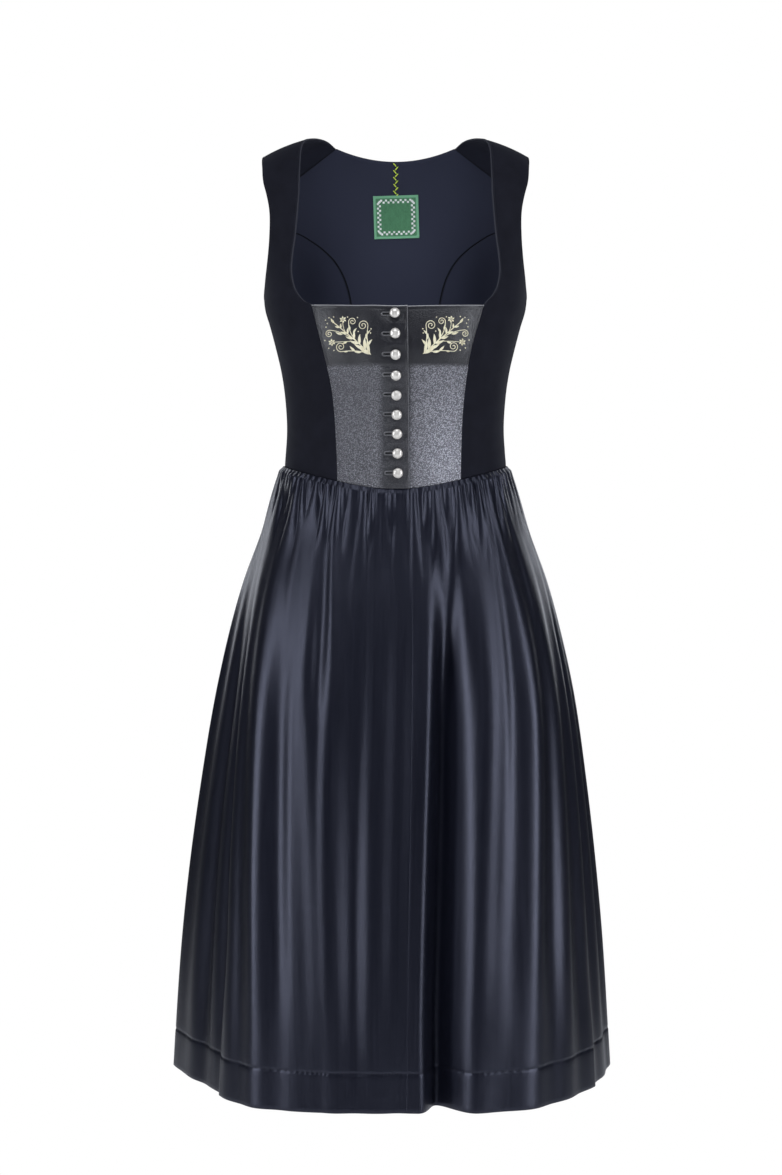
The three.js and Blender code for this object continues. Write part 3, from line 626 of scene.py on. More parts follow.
def makeLabelCloth():
    material, tree, shader = newMaterial("wovenLabel", (0.035, 0.12, 0.055), 0.8, {"Sheen Weight": 0.2})
    weave = placeGroup(tree, weaveGroup, cutPlace(tree), Across=1100.0, Along=900.0, Streak=0.5)
    base = mixColors(tree, weave.outputs["Tone"], (0.042, 0.150, 0.068), (0.075, 0.230, 0.115))
    color = mixColors(tree, rimMask(tree, 0.3, 0.7), base, (0.16, 0.40, 0.23))
    tree.links.new(color, shader.inputs["Base Color"])
    addBump(tree, shader, weave.outputs["Height"], 0.0003, 0.7)
    return material


satin = makeSatin()
wool = makeWool()
leather = makeLeatherFinish()
pearl = makePearl()
labelCloth = makeLabelCloth()
seamThread = makeThread("seamThread", (0.035, 0.035, 0.045), (0.085, 0.085, 0.10), 0.6, 2600.0, 0.0001, 0.05)
hemThread = makeThread("hemThread", (0.005, 0.0055, 0.011), (0.010, 0.011, 0.018), 0.7, 2600.0, 0.0001, 0.02)
creamThread = makeThread("creamThread", (0.62, 0.55, 0.34), (0.86, 0.82, 0.62), 0.45, 1500.0, 0.00015)
limeThread = makeThread("limeThread", (0.50, 0.66, 0.02), (0.72, 0.90, 0.10), 0.5, 1500.0, 0.00015)
whiteThread = makeThread("whiteThread", (0.62, 0.64, 0.62), (0.88, 0.90, 0.88), 0.5, 1500.0, 0.00015)
print("materials made")


# The bodice's cloth panels

frontRows = makeTable("seamZ rightX leftX sideZ centreZ", [
    (-383, 63.3, 70.9, -366, -390),
    (-350, 64.3, 71.4, -335, -355),
    (-318, 65.8, 72.6, -305, -322),
    (-290, 68.2, 74.6, -278, -293),
    (-266, 72.4, 77.3, -254, -269),
    (-245, 77.6, 80.4, -232, -247.5),
    (-222, 83.4, 86.2, -210, -224.5),
    (-205, 87.6, 91.8, -193, -207.5),
    (-192, 90.8, 95.4, -182, -194.5),
])
strapRows = makeTable("neckX neckZ armY armZ", [
    (97, -188.5, -7, -180.5),
    (103.5, -182, -17, -176.5),
    (109.6, -171, -27, -169),
    (112.6, -155, -36, -156),
    (111.8, -139, -43, -139),
    (108.6, -115, -47, -115),
    (106, -86, -46, -86),
    (104.5, -56, -35, -54),
])
shoulderRows = makeTable("neckX neckY neckZ armX armY armZ crown", [
    (104, -49, -33, 147.5, -23, -37, 3.5),
    (103.2, -30, -15, 148.5, -9, -27.5, 2.5),
    (100, -9, -5, 148, 6, -22.5, 2),
    (94, 12, -0.5, 146.5, 20, -24, 2.5),
    (86, 33, 2, 144.5, 34, -31, 4),
    (77, 55, 1.5, 141, 46, -41, 5.5),
])
shoulderSeam = {"neckX": 68.4, "neckZ": -4, "armX": 137, "armZ": -57}
bodice = {"wall": 2.0, "columns": 58, "rows": 190, "halfGap": -0.05 / girth, "shoulderGap": -0.05,
          "extra": (1.6, 2.2, 2.8, 3.6, 5.0)}
leatherTop = len(frontRows["seamZ"]) - 1
strapTop = leatherTop + len(strapRows["neckZ"])

# Soft drag lines of the bodice's cloth, the same kind on both sides but not alike.
bodiceCreases = {
    side: makeTable("fromQ fromZ toQ toZ width depth", rows)
    for side, rows in {
        "left": [
            (96, -300, 110, -352, 7, 0.35), (112, -338, 150, -326, 6, 0.4), (118, -352, 168, -338, 5, 0.55),
            (120, -219, 150, -214, 7, 0.3), (128, -205, 168, -196, 6, 0.45), (150, -362, 186, -352, 4.5, 0.5),
        ],
        "right": [
            (90, -306, 102, -350, 7, 0.3), (114, -356, 160, -345, 5, 0.5), (118, -222, 146, -218, 7, 0.35),
            (120, -341, 158, -331, 5.5, 0.45), (124, -201, 164, -193, 6, 0.4),
            (146, -364, 180, -357, 4.5, 0.45),
        ],
    }.items()
}


def rowLength(start, end):
    angles = np.linspace(start[0], end[0], 24)
    heights = np.linspace(start[1], end[1], 24)
    return np.linalg.norm(np.diff(formPoint(angles, heights), axis=0), axis=-1).sum()


def formRow(start, end, shares, onWaist=False):
    angle = lerp(start[0], end[0], shares)
    z = waistSeamZ(angle) + waist["gap"] / 2 if onWaist else lerp(start[1], end[1], shares)
    return formPoint(angle, z)


def flipRows(rows, side):
    return rows * np.array([side, 1, 1])


def shoulderSeamRow(shares, raised):
    x = lerp(shoulderSeam["neckX"], shoulderSeam["armX"], shares)
    z = lerp(shoulderSeam["neckZ"], shoulderSeam["armZ"], shares) + raised
    return formPoint(backAngle(x, z), z)


def frontSideKeys(seamColumn):
    spans = []
    for row in tableRows(frontRows):
        start = (frontAngle(row[seamColumn], row["seamZ"]) + bodice["halfGap"], row["seamZ"])
        spans.append((start, (waist["sideSeam"] - bodice["halfGap"], row["sideZ"])))
    for row in tableRows(strapRows):
        armAngle = angleOf(formSideX(row["armY"], row["armZ"]), row["armY"])
        spans.append(((frontAngle(row["neckX"], row["neckZ"]), row["neckZ"]), (armAngle, row["armZ"])))
    lengths = [rowLength(*span) for span in spans]
    ends = []
    for row in tableRows(shoulderRows):
        ends.append((np.array([row["neckX"], row["neckY"], row["neckZ"]]),
                     np.array([row["armX"], row["armY"], row["armZ"]]), row["crown"]))
        lengths.append(np.linalg.norm(ends[-1][1] - ends[-1][0]))
    seamSides = shoulderSeamRow(np.array([0, 1]), 0)
    lengths.append(np.linalg.norm(seamSides[1] - seamSides[0]))
    shares, full = edgePlaces(lengths, bodice["wall"] / 2, bodice["columns"], bodice["extra"])
    rows = [formRow(*span, shares[i], i == 0) for i, span in enumerate(spans)]
    strapShares = shares[len(spans):-1, :, None]
    straight = [lerp(neck, arm, share) for (neck, arm, _), share in zip(ends, strapShares)]
    seamRow = shoulderSeamRow(shares[-1], bodice["shoulderGap"])
    around = [rows[-1], *straight, seamRow]
    for i, (neck, arm, crown) in enumerate(ends):
        normal = unit(np.cross(arm - neck, around[i + 2] - around[i]))
        share = strapShares[i]
        rows.append(straight[i] + normal * crown * 4 * share * (1 - share))
    return np.array([*rows, seamRow]), full


# The folded edge of a neckline: a low roll, then the dip where the facing is sewn down.
def foldedEdge(distance, height=0.3):
    return height * bell(distance - 1.2, 1.1) - height * bell(distance - 3.0, 0.8)


cuts = {}
outsides = {}


# The flat size and area of a piece's cut, read off the grid that it was made from.
def readCut(grid):
    widths = arcLengths(grid, 1)[:, -1]
    steps = np.linalg.norm(np.diff(grid, axis=0), axis=-1).mean(axis=1)
    area = ((widths[:-1] + widths[1:]) / 2 * steps).sum()
    return {"flat": (widths.max() * metre, steps.sum() * metre), "area": area * metre**2}


def addClothPanel(name, grid, columnFull, rowFull, moved, rim, nodes, lining=1.0):
    normals = gridNormals(grid)
    full = np.minimum(columnFull[None, :], rowFull[:, None])
    outside = grid + normals * moved[..., None]
    across, along = arcLengths(grid, 1), arcLengths(grid, 0)
    uv = np.stack([across, along], axis=-1)
    mesh = addShell(name, outside, normals, bodice["wall"], full, uv, rim, lining=lining)
    addPiece(name, mesh, wool, nodes)
    cuts[name] = readCut(grid)
    outsides[name] = outside


def makeFrontSide(name, node, seamColumn, side, creaseTable):
    keyRows, columnFull = frontSideKeys(seamColumn)
    grid, rowFull, at, keys = fineGrid(keyRows, bodice["wall"] / 2, bodice["rows"], formEnd=strapTop)
    across = arcLengths(grid, 1)
    toArm = across[:, -1:] - across
    angle, z = angleOf(grid[..., 0], grid[..., 1]), grid[..., 2]
    pastLeather = smoothStep(at, keys[leatherTop] - 2, keys[leatherTop] + 4)[:, None]
    onArm = smoothStep(at, keys[leatherTop], keys[leatherTop + 1])[:, None]
    onFront = 1 - smoothStep(at, keys[strapTop - 1], keys[strapTop])[:, None]
    moved = foldedEdge(across) * pastLeather + foldedEdge(toArm, 0.15) * onArm
    moved = moved + creases(angle, z, creaseTable) * onFront
    moved = moved + 0.25 * softNoise(angle * girth / 26, z / 40, 3 if side > 0 else 4)
    nearNeck = bell(across, 1.5) * lerp(0.45, 1, pastLeather)
    nearArm = 0.35 * bell(toArm, 1.2) * onArm
    nearShoulder = bell(arcLengths(grid[::-1], 0)[::-1], 1.3)
    # rim lightens the folded edges and, below zero, paints shade into the shoulder seam.
    rim = nearNeck + nearArm - nearShoulder
    # The inner faces here take less of the pale lining colour: painted shade inside the straps.
    addClothPanel(name, flipRows(grid, side), columnFull, rowFull, moved, rim, [node], lining=0.3)


makeFrontSide("frontSideRight", "front_side_right", "rightX", -1, bodiceCreases["right"])
makeFrontSide("frontSideLeft", "front_side_left", "leftX", 1, bodiceCreases["left"])

# armY isn't read below the armhole.
backRows = makeTable("seamX seamZ sideZ armY centreZ", [
    (38, -366, -366, -200, -366),
    (38.6, -335, -335, -200, -333),
    (39.8, -305, -305, -200, -300),
    (41.3, -278, -278, -200, -270),
    (43.2, -254, -254, -200, -243),
    (45.2, -232, -232, -200, -218),
    (47.6, -210, -210, -200, -193),
    (49.6, -193, -193, -200, -173),
    (51.5, -178, -182, -200, -155),
    (54.8, -163, -178, 16, -138),
    (60.6, -147, -168, 32, -121),
    (70.5, -131, -152, 46, -105),
    (84, -118, -134, 55, -90),
    (98, -108.5, -118, 60, -77),
    (111.5, -101.5, -107, 62, -65),
    (128.8, -97, -99.9, 63, -54),
])
backArmRows = makeTable("edgeX edgeZ centreZ", [
    (131.5, -86, -43),
    (134, -71, -31),
    (137, -57, -18),
])
backPanels = {"armholeFrom": 9, "necklineFrom": 9, "shortestRow": 4, "sideColumns": 44, "sideRows": 150,
              "centreColumns": 110, "centreRows": 154, "centreExtra": (1.6, 2.4, 3.2), "neckHalf": (64, 69)}


def backSideKeys():
    spans = []
    for i, row in enumerate(tableRows(backRows)):
        start = (backAngle(row["seamX"], row["seamZ"]) - bodice["halfGap"], row["seamZ"])
        if i < backPanels["armholeFrom"]:
            outer = waist["sideSeam"] + bodice["halfGap"]
        else:
            outer = angleOf(formSideX(row["armY"], row["sideZ"]), row["armY"])
        spans.append((start, (outer, row["sideZ"])))
    lengths = [max(rowLength(*span), backPanels["shortestRow"]) for span in spans]
    shares, full = edgePlaces(lengths, bodice["wall"] / 2, backPanels["sideColumns"])
    return np.array([formRow(*span, shares[i], i == 0) for i, span in enumerate(spans)]), full


def makeBackSide(name, node, side):
    keyRows, columnFull = backSideKeys()
    grid, rowFull, at, keys = fineGrid(keyRows, bodice["wall"] / 2, backPanels["sideRows"])
    angle, z = angleOf(grid[..., 0], grid[..., 1]), grid[..., 2]
    moved = 0.25 * softNoise(angle * girth / 26, z / 40, 5 if side > 0 else 6)
    across = arcLengths(grid, 1)
    armholeFrom = backPanels["armholeFrom"]
    onArm = smoothStep(at, keys[armholeFrom - 1], keys[armholeFrom])[:, None]
    # rim lightens the armhole edge and, below zero, paints shade into the seam at the back centre.
    rim = 0.3 * bell(across[:, -1:] - across, 1.2) * onArm - bell(across, 1.1)
    addClothPanel(name, flipRows(grid, side), columnFull, rowFull, moved, rim, [node])


makeBackSide("backSideRight", "back_side_right", -1)
makeBackSide("backSideLeft", "back_side_left", 1)


# How a row rises from the centre to the edge: low rows follow a parabola, and the highest follows
# the neckline and then the shoulder seam.
def backRise(share, upward):
    edgeZ, centreZ = backArmRows["edgeZ"][-1], backArmRows["centreZ"][-1]
    neckShare = shoulderSeam["neckX"] / shoulderSeam["armX"]
    atNeck = (shoulderSeam["neckZ"] - centreZ) / (edgeZ - centreZ)
    neckline = atNeck * (share / neckShare) ** 2
    seam = lerp(atNeck, 1, (share - neckShare) / (1 - neckShare))
    return lerp(share**2, np.where(share < neckShare, neckline, seam), upward)


def backCentreKeys():
    edges = list(zip(backRows["seamX"], backRows["seamZ"], backRows["centreZ"]))
    sewnRows = len(edges)
    edges += zip(*backArmRows.values())
    last = len(edges) - 1
    lengths = [2 * edge[0] * 1.12 for edge in edges]
    shares, full = edgePlaces(lengths, bodice["wall"] / 2, backPanels["centreColumns"])
    rows = []
    for i, (edgeX, edgeZ, centreZ) in enumerate(edges):
        c = shares[i] * 2 - 1
        upward = smoothStep(i, backPanels["necklineFrom"], last)
        z = centreZ + (edgeZ - centreZ) * backRise(np.abs(c), upward)
        if i == 0:
            z = np.full_like(c, waist["z"] + waist["gap"] / 2)
        if i == last:
            z = z - bodice["shoulderGap"]
        angle = backAngle(edgeX * c, z)
        inset = bodice["halfGap"] if i < sewnRows else 0
        rows.append(formPoint(angle + inset * c, z))
    return np.array(rows), full


def makeBackCentre():
    keyRows, columnFull = backCentreKeys()
    grid, rowFull, _, _ = fineGrid(keyRows, bodice["wall"] / 2, backPanels["centreRows"],
                                   extra=backPanels["centreExtra"])
    x, z = grid[..., 0], grid[..., 2]
    fromTop = arcLengths(grid[::-1], 0)[::-1]
    inNeck = 1 - smoothStep(np.abs(x), *backPanels["neckHalf"])
    moved = 0.3 * softNoise(x / 30, z / 45, 7) + foldedEdge(fromTop, 0.2) * inNeck
    across = arcLengths(grid, 1)
    fromSeams = np.minimum(across, across[:, -1:] - across)
    # rim lightens the neck edge and, below zero, paints shade into the seams.
    rim = 0.4 * bell(fromTop, 1.4) * inNeck - bell(fromSeams, 1.1) - bell(fromTop, 1.3) * (1 - inNeck)
    addClothPanel("backCentre", grid, columnFull, rowFull, moved, rim, ["back_centre"])


makeBackCentre()
print("cloth panels made")


# The leather fronts

closing = {"edgeTopX": 12.6, "edgeWaistX": 14.8, "standX": -18, "liftFromX": -44, "liftFullX": -21,
           "lift": 2.2, "wall": 1.8}
buttonRow = {"count": 9, "topX": -1, "waistX": 2.4, "topZ": -203.5, "waistZ": -372.5}
buttonholes = {"length": 16, "height": 3.1, "fromX": -14, "lipRadius": 0.85, "lipAside": 0.15,
               "lipOut": -0.05, "lipHighlight": 0.68}
leatherForm = {"rows": 166, "columns": 84, "fieldZ": -258.5, "gap": -0.05, "stitchedAt": 2.6,
               "extra": (1.5, 2.1, 2.7, 3.3, 4.2)}


def buttonPlaces():
    down = np.linspace(0, 1, buttonRow["count"])
    return np.stack([lerp(buttonRow["topX"], buttonRow["waistX"], down),
                     lerp(buttonRow["topZ"], buttonRow["waistZ"], down)], axis=-1)


# How the worked leather stands off the plain form: the line under the upper field, the pull of
# each button and the puckers between them.
def leatherRelief(x, z, onRight):
    relief = 0.28 * softNoise(x / 13, z / 17, 11) + 0.12 * softNoise(x / 5, z / 6, 12)
    field = leatherForm["fieldZ"] + 0.8 * softNoise(x / 20, z * 0, 13)
    relief = relief - 0.55 * bell(z - field, 1.1) + 0.45 * bell(z - field + 2.6, 2.0)
    if not onRight:
        return relief
    for i, (buttonX, buttonZ) in enumerate(buttonPlaces()):
        pull = bell(x - buttonX + 5, 9.5) * bell(z - buttonZ, 4.4)
        relief = relief - 0.95 * pull
        swell = bell(x - buttonX + 1, 11) * bell(z - buttonZ + 10.6, 4.2)
        relief = relief + (1.05 + 0.3 * math.sin(2.3 * i)) * swell
        side = bell(x - buttonX + 19, 3.2) * bell(z - buttonZ - 1, 6)
        relief = relief + 0.35 * side
        edgeX = lerp(closing["edgeTopX"], closing["edgeWaistX"], i / (buttonRow["count"] - 1))
        relief = relief + 0.45 * bell(x - edgeX + 1.5, 3) * bell(z - buttonZ + 9.5, 5.5)
    return relief


def onLeather(x, z, out, onRight):
    x, z = np.asarray(x, dtype=float), np.asarray(z, dtype=float)
    angle = frontAngle(x, z)
    lift = closing["lift"] * smoothStep(x, closing["liftFromX"], closing["liftFullX"]) if onRight else 0
    raised = lift + leatherRelief(x, z, onRight) + out
    return formPoint(angle, z) + formNormal(angle, z) * raised[..., None]


def onRightLeather(x, z, out=0.0):
    return onLeather(x, z, out, True)


def onLeftLeather(x, z, out=0.0):
    return onLeather(x, z, out, False)


def leatherGrid(seamX, endX, surface):
    lengths = np.abs(endX - seamX) * 1.1
    edge, extra = closing["wall"] / 2, leatherForm["extra"]
    shares, columnFull = edgePlaces(lengths, edge, leatherForm["columns"], extra)
    x = lerp((seamX - np.sign(seamX) * leatherForm["gap"])[:, None], endX[:, None], shares)
    z = lerp(frontRows["seamZ"][:, None], frontRows["centreZ"][:, None],
             np.clip(1 - np.abs(x) / np.abs(seamX)[:, None], 0, 1))
    z[0] = waistSeamZ(frontAngle(x[0], z[0])) + waist["gap"] / 2
    steps = np.concatenate([[0], np.cumsum(np.diff(frontRows["centreZ"]))])
    places, rowFull = edgePlaces(steps[-1], edge, leatherForm["rows"], extra)
    at = places[0] * steps[-1]
    fine = smoothThrough(steps, np.stack([x, z], axis=-1), at)
    return fine, columnFull, rowFull, surface(fine[..., 0], fine[..., 1])


# The radius of a buttonhole's round ends and how far to the sides their middles lie
def slotEnds(extra=0):
    radius = buttonholes["height"] / 2 + extra
    return radius, buttonholes["fromX"] + radius, buttonholes["fromX"] + buttonholes["length"] - radius


def inSlot(a, b):
    radius, low, high = slotEnds()
    return np.hypot(a - np.clip(a, low, high), b) < radius


def makeLeatherFront(name, node, seamX, endX, surface, withHoles):
    fine, columnFull, rowFull, grid = leatherGrid(seamX, endX, surface)
    x, z = fine[..., 0], fine[..., 1]
    normals = gridNormals(grid)
    across, along = arcLengths(grid, 1), arcLengths(grid, 0)
    fromTop = along[-1:] - along
    fromEdge = across[:, -1:] - across
    moved = 0.45 * bell(fromTop - 1.6, 1.5) - 0.4 * bell(fromTop - 4.0, 0.7)
    moved = moved - 0.3 * bell(across - leatherForm["stitchedAt"], 0.6)
    if withHoles:
        moved = moved + 0.5 * bell(fromEdge - 1.3, 1.3) - 0.25 * bell(fromEdge - 3.6, 0.8)
    # rim marks where a highlight is painted on the rounded edges: the top, the opening's edge and, fainter,
    # the outer seam.
    rim = np.maximum(bell(fromTop, 1.9), 0.75 * bell(fromEdge, 1.7) * withHoles)
    rim = np.maximum(rim, 0.35 * bell(across, 1.2))
    holes = None
    if withHoles:
        holes = np.zeros((grid.shape[0] - 1, grid.shape[1] - 1), dtype=bool)
        middleX = (x[:-1, :-1] + x[1:, 1:]) / 2
        middleZ = (z[:-1, :-1] + z[1:, 1:]) / 2
        for buttonX, buttonZ in buttonPlaces():
            holes |= inSlot(middleX - buttonX, middleZ - buttonZ)
    full = np.minimum(columnFull[None, :], rowFull[:, None])
    outside = grid + normals * moved[..., None]
    uv = np.stack([across, along], axis=-1)
    mesh = addShell(name, outside, normals, closing["wall"], full, uv, rim, holes)
    cuts[name] = readCut(grid)
    seamLine = np.argmin(np.abs(across[0] - leatherForm["stitchedAt"]))
    outsides[name] = outside[:, seamLine] + normals[:, seamLine] * 0.05
    addPiece(name, mesh, leather, [node])


frontEdgeX = np.linspace(closing["edgeWaistX"], closing["edgeTopX"], leatherTop + 1)
makeLeatherFront("leatherFrontRight", "leather_front_right", -frontRows["rightX"], frontEdgeX,
                 onRightLeather, True)
makeLeatherFront("leatherFrontLeft", "leather_front_left", frontRows["leftX"],
                 np.full(leatherTop + 1, float(closing["standX"])), onLeftLeather, False)


# The bound edges of the buttonholes: a rolled lip round each slot, with a light highlight painted on its rim
def lipPath(buttonX, buttonZ):
    radius, low, high = slotEnds(buttonholes["lipAside"])
    turns = np.linspace(math.pi / 2, 3 * math.pi / 2, 9)
    leftEnd = np.stack([low + radius * np.cos(turns), radius * np.sin(turns)], axis=-1)
    rightEnd = np.stack([high - radius * np.cos(turns), -radius * np.sin(turns)], axis=-1)
    straight = np.linspace(low, high, 13)[1:-1]
    bottom = np.stack([straight, np.full_like(straight, -radius)], axis=-1)
    top = np.stack([straight[::-1], np.full_like(straight, radius)], axis=-1)
    flat = np.concatenate([leftEnd, bottom, rightEnd, top])
    return onRightLeather(buttonX + flat[:, 0], buttonZ + flat[:, 1], buttonholes["lipOut"])


buttonholeLips = addParts("buttonholeLips", [
    tubeParts(lipPath(*place), buttonholes["lipRadius"], 10, ring=True) for place in buttonPlaces()
], leather, buttonholes["lipHighlight"])


# Nine pearl buttons, each a domed pearl on a shank
pearlButton = {"radius": 5.6, "depth": 6.4, "foot": 0.5, "shank": 1.2, "back": 3.0, "low": 0.42,
               "sides": 40, "turns": (-62, 88, 22), "point": 0.01}


def makeButton(index, buttonX, buttonZ):
    angle = frontAngle(buttonX, buttonZ)
    normal = formNormal(angle, buttonZ)
    across = unit(np.array([1.0, 0, 0]) - normal * normal[0])
    upward = np.cross(normal, across)
    middle = pearlButton["back"] + pearlButton["depth"] * pearlButton["low"]
    turns = np.radians(np.linspace(*pearlButton["turns"]))
    half = pearlButton["depth"] * np.where(turns < 0, pearlButton["low"], 1 - pearlButton["low"])
    profile = [(pearlButton["point"], pearlButton["foot"]), (pearlButton["shank"], pearlButton["foot"]),
               (pearlButton["shank"], pearlButton["back"] + 0.2)]
    profile += [(pearlButton["radius"] * math.cos(t), middle + h * math.sin(t)) for t, h in zip(turns, half)]
    profile.append((pearlButton["point"], middle + half[-1]))
    sides = pearlButton["sides"]
    turned = (np.arange(sides) * 2 * math.pi / sides)[:, None]
    points = []
    for radius, out in profile:
        ring = across * np.cos(turned) * radius + upward * np.sin(turned) * radius
        points.append(formPoint(angle, buttonZ) + normal * out + ring)
    name = f"pearlButton{index + 1}"
    mesh = addMesh(name, np.concatenate(points), tubeFaces(len(profile), sides))
    addPiece(name, mesh, pearl, [f"button_{index + 1}"])


for index, place in enumerate(buttonPlaces()):
    makeButton(index, *place)
print("leather fronts and buttons made")


# The skirt

skirtGrowth = makeTable("way side front back shift", [
    (0, 0, 0, 0, 0),
    (0.022, 4.5, 2, 7, 0),
    (0.09, 21.5, 16, 29, 0),
    (0.19, 46.5, 40, 57, 0),
    (0.29, 65, 61, 78, -0.5),
    (0.39, 79.5, 78, 92, -1),
    (0.52, 93, 95, 106, -2),
    (0.66, 105, 111, 118, -3),
    (0.8, 114, 124, 127, -3.5),
    (1, 122.5, 137, 135, -4),
])
foldRidges = makeTable("waist hem out valley power", [
    (-92, -85, 0, 4, 1), (-85, -70, -11, 5, 1.1), (-77, -57, -13, 5, 1.3), (-69, -45, 4, 5, 1),
    (-60, -35, 14, 6, 1.2), (-48, -24.5, 8, 7, 1.3), (-30, -14.5, 4, 6, 1), (-10, -4.5, 0, 6, 1.5),
    (15, 6.5, 0, 36, 1.2), (44, 21.5, 12, 8, 1), (59, 35, 20, 7, 1.2), (70, 48, 11, 6, 1),
    (79, 60, 2, 5, 1.2), (87, 73, -2, 6, 1), (95, 86, 0, 9, 1), (104, 98, 0, 8, 1.3),
    (113, 109, 0, 11, 1), (123, 120, 0, 9, 1.2), (134, 132, 0, 12, 1), (146, 145, 0, 10, 1.1),
    (158, 157, 0, 13, 1), (170, 170, 0, 9, 1.3), (182, 183, 0, 12, 1), (194, 195, 0, 10, 1.1),
    (205, 207, 0, 12, 1), (216, 219, 0, 9, 1.2), (228, 231, 0, 11, 1), (240, 244, 0, 8, 1.2),
    (251, 257, 0, 9, 1), (260, 267, 0, 6, 1.1), (268, 275, 0, 0, 1),
])
skirt = {
    "hemZ": -1038, "foldsFrom": 0.03, "foldsFull": 0.42, "drop": 0.06, "wall": 0.9, "hemWall": 1.7,
    "turnUp": 42, "frontSeamX": 15, "gatherStart": 33, "gatherRoom": 4, "seamInset": -0.25,
    "degree": 1.7,  # millimetres to a degree of thread at the waist
    "clothDegree": 4.1,  # and of the cloth laid flat
    "edgeSteps": 4, "edgeRoom": 1.3,
}
skirtLength = waist["z"] - skirt["hemZ"]

# Long soft ridges between the main folds, from one share of the way down to another. at is the
# thread at the top, to the thread at the bottom; width in degrees of thread.
fineFolds = {
    "front": makeTable("at to start end width height", [
        (-82, -81, 0.03, 0.90, 2.0, 1.8),
        (-73, -73, 0.03, 0.62, 2.2, 2.0),
        (-64, -62, 0.02, 1.30, 2.4, 3.0),
        (-53, -52, 0.02, 0.55, 2.6, 2.4),
        (-43, -40, 0.02, 0.90, 3.0, 3.4),
        (-36, -28, 0.02, 0.42, 2.4, 3.2),
        (-34, -35, 0.16, 1.30, 4.6, 5.2),
        (-22, -20, 0.02, 0.62, 3.2, 1.8),
        (27, 30, 0.02, 0.36, 3.0, 1.8),
        (36, 38, 0.02, 0.85, 3.0, 3.2),
        (50, 51, 0.02, 1.25, 2.2, 2.8),
        (56, 57, 0.02, 0.40, 2.2, 2.6),
        (66, 65, 0.02, 0.72, 2.4, 2.6),
        (75, 75, 0.03, 1.20, 2.0, 2.4),
        (84, 84, 0.04, 0.80, 2.0, 1.8),
    ]),
    "back": makeTable("at to start end width height", [
        (101, 102, 0.03, 0.60, 2.8, 2.6),
        (118, 120, 0.02, 0.50, 3.2, 3.4),
        (131, 129, 0.03, 0.82, 2.8, 3.0),
        (148, 147, 0.02, 1.20, 3.0, 3.2),
        (163, 165, 0.04, 0.60, 2.8, 3.0),
        (176, 175, 0.02, 0.90, 2.6, 3.2),
        (190, 193, 0.02, 0.45, 3.2, 3.4),
        (203, 202, 0.03, 1.20, 2.6, 2.8),
        (221, 222, 0.02, 0.70, 2.8, 3.0),
        (234, 235, 0.03, 0.55, 3.2, 3.2),
        (248, 246, 0.02, 0.95, 2.6, 2.8),
        (261, 262, 0.02, 0.60, 2.4, 2.2),
    ]),
}

# The small gathers under the waist seam: the threads that a stretch runs between, how many gathers
# it has, how far they stand out and the share of the way down that they reach.
gatherStretches = makeTable("start end count height length", [
    (-92, -70, 5, 3.6, 0.09),
    (-70, -46, 7, 4.2, 0.10),
    (-46, -33, 4, 4.0, 0.10),
    (-33, -14, 5, 3.2, 0.12),
    (-14, 14, 6, 2.5, 0.13),
    (18, 33, 4, 3.2, 0.12),
    (33, 46, 4, 4.0, 0.10),
    (46, 70, 7, 4.3, 0.11),
    (70, 92, 5, 3.6, 0.09),
    (92, 150, 15, 4.0, 0.11),
    (150, 210, 16, 4.2, 0.12),
    (210, 268, 15, 4.0, 0.11),
])

# Folds that lie over on the cloth beside them low on the skirt: thread, share of the way where they
# start, height, and which way the sharp side looks.
lyingFolds = makeTable("at start height side", [
    (-72, 0.74, 3.6, -1), (80, 0.80, 3.2, 1), (201, 0.70, 3.4, 1),
])


def threadAngle(thread, way):
    spread = readTable(skirtGrowth, "way", way)["front"] / skirtGrowth["front"][-1]
    hem = readTable(foldRidges, "waist", thread)["hem"]
    return np.radians(thread + (hem - thread) * spread)


# The main folds of the CAD panels. They wander a little sideways, deepen and fade on their way down,
# and ease at the hem. Beside the centre front, and in one place further out, they are calmer.
def foldOut(thread, way):
    grown = smoothStep(way, skirt["foldsFrom"], skirt["foldsFull"])
    out = readTable(foldRidges, "waist", thread)["out"]
    free = smoothStep(way, 0.05, 0.3) * (1 - smoothStep(way, 0.85, 1))
    thread = thread + 1.3 * softNoise(thread / 13, way * 3.4, 51) * free
    depth = 1 + 0.5 * softNoise(thread / 8, way * 4.6, 52) * free - 0.6 * smoothStep(way, 0.72, 1)
    calm = 0.5 * bell(thread + 8, 15) + 0.7 * bell(thread + 41, 6) * smoothStep(way, 0.28, 0.42)
    depth = np.maximum(depth, 0.3) * (1 - calm)
    ridges = foldRidges["waist"]
    index = np.clip(np.searchsorted(ridges, thread, side="right") - 1, 0, len(ridges) - 2)
    ridge = {name: column[index] for name, column in foldRidges.items()}
    width = ridges[index + 1] - ridge["waist"]
    share = np.clip((thread - ridge["waist"]) / width, 0, 1)
    valley = ridge["valley"] * ((1 - np.cos(2 * math.pi * share)) / 2) ** ridge["power"]
    return grown * (out - valley * np.where(ridge["valley"] < 15, depth, 1))


def skirtPoint(thread, way):
    angle = threadAngle(thread, way)
    top = waistSeamZ(np.radians(thread)) - skirt["drop"]
    growth = readTable(skirtGrowth, "way", way)
    ahead = np.cos(angle)
    stand = lerp(growth["side"], np.where(ahead >= 0, growth["front"], growth["back"]), ahead**2)
    reach = formReach(angle, top) + stand + foldOut(thread, way)
    return np.stack([reach * np.sin(angle) + growth["shift"], -reach * np.cos(angle),
                     lerp(top, skirt["hemZ"], way)], axis=-1)


def skirtNormal(thread, way, threadStep=0.3, wayStep=0.002):
    way = np.clip(way, wayStep, 1 - wayStep)
    sideways = skirtPoint(thread + threadStep, way) - skirtPoint(thread - threadStep, way)
    upward = skirtPoint(thread, way - wayStep) - skirtPoint(thread, way + wayStep)
    return unit(np.cross(sideways, upward))


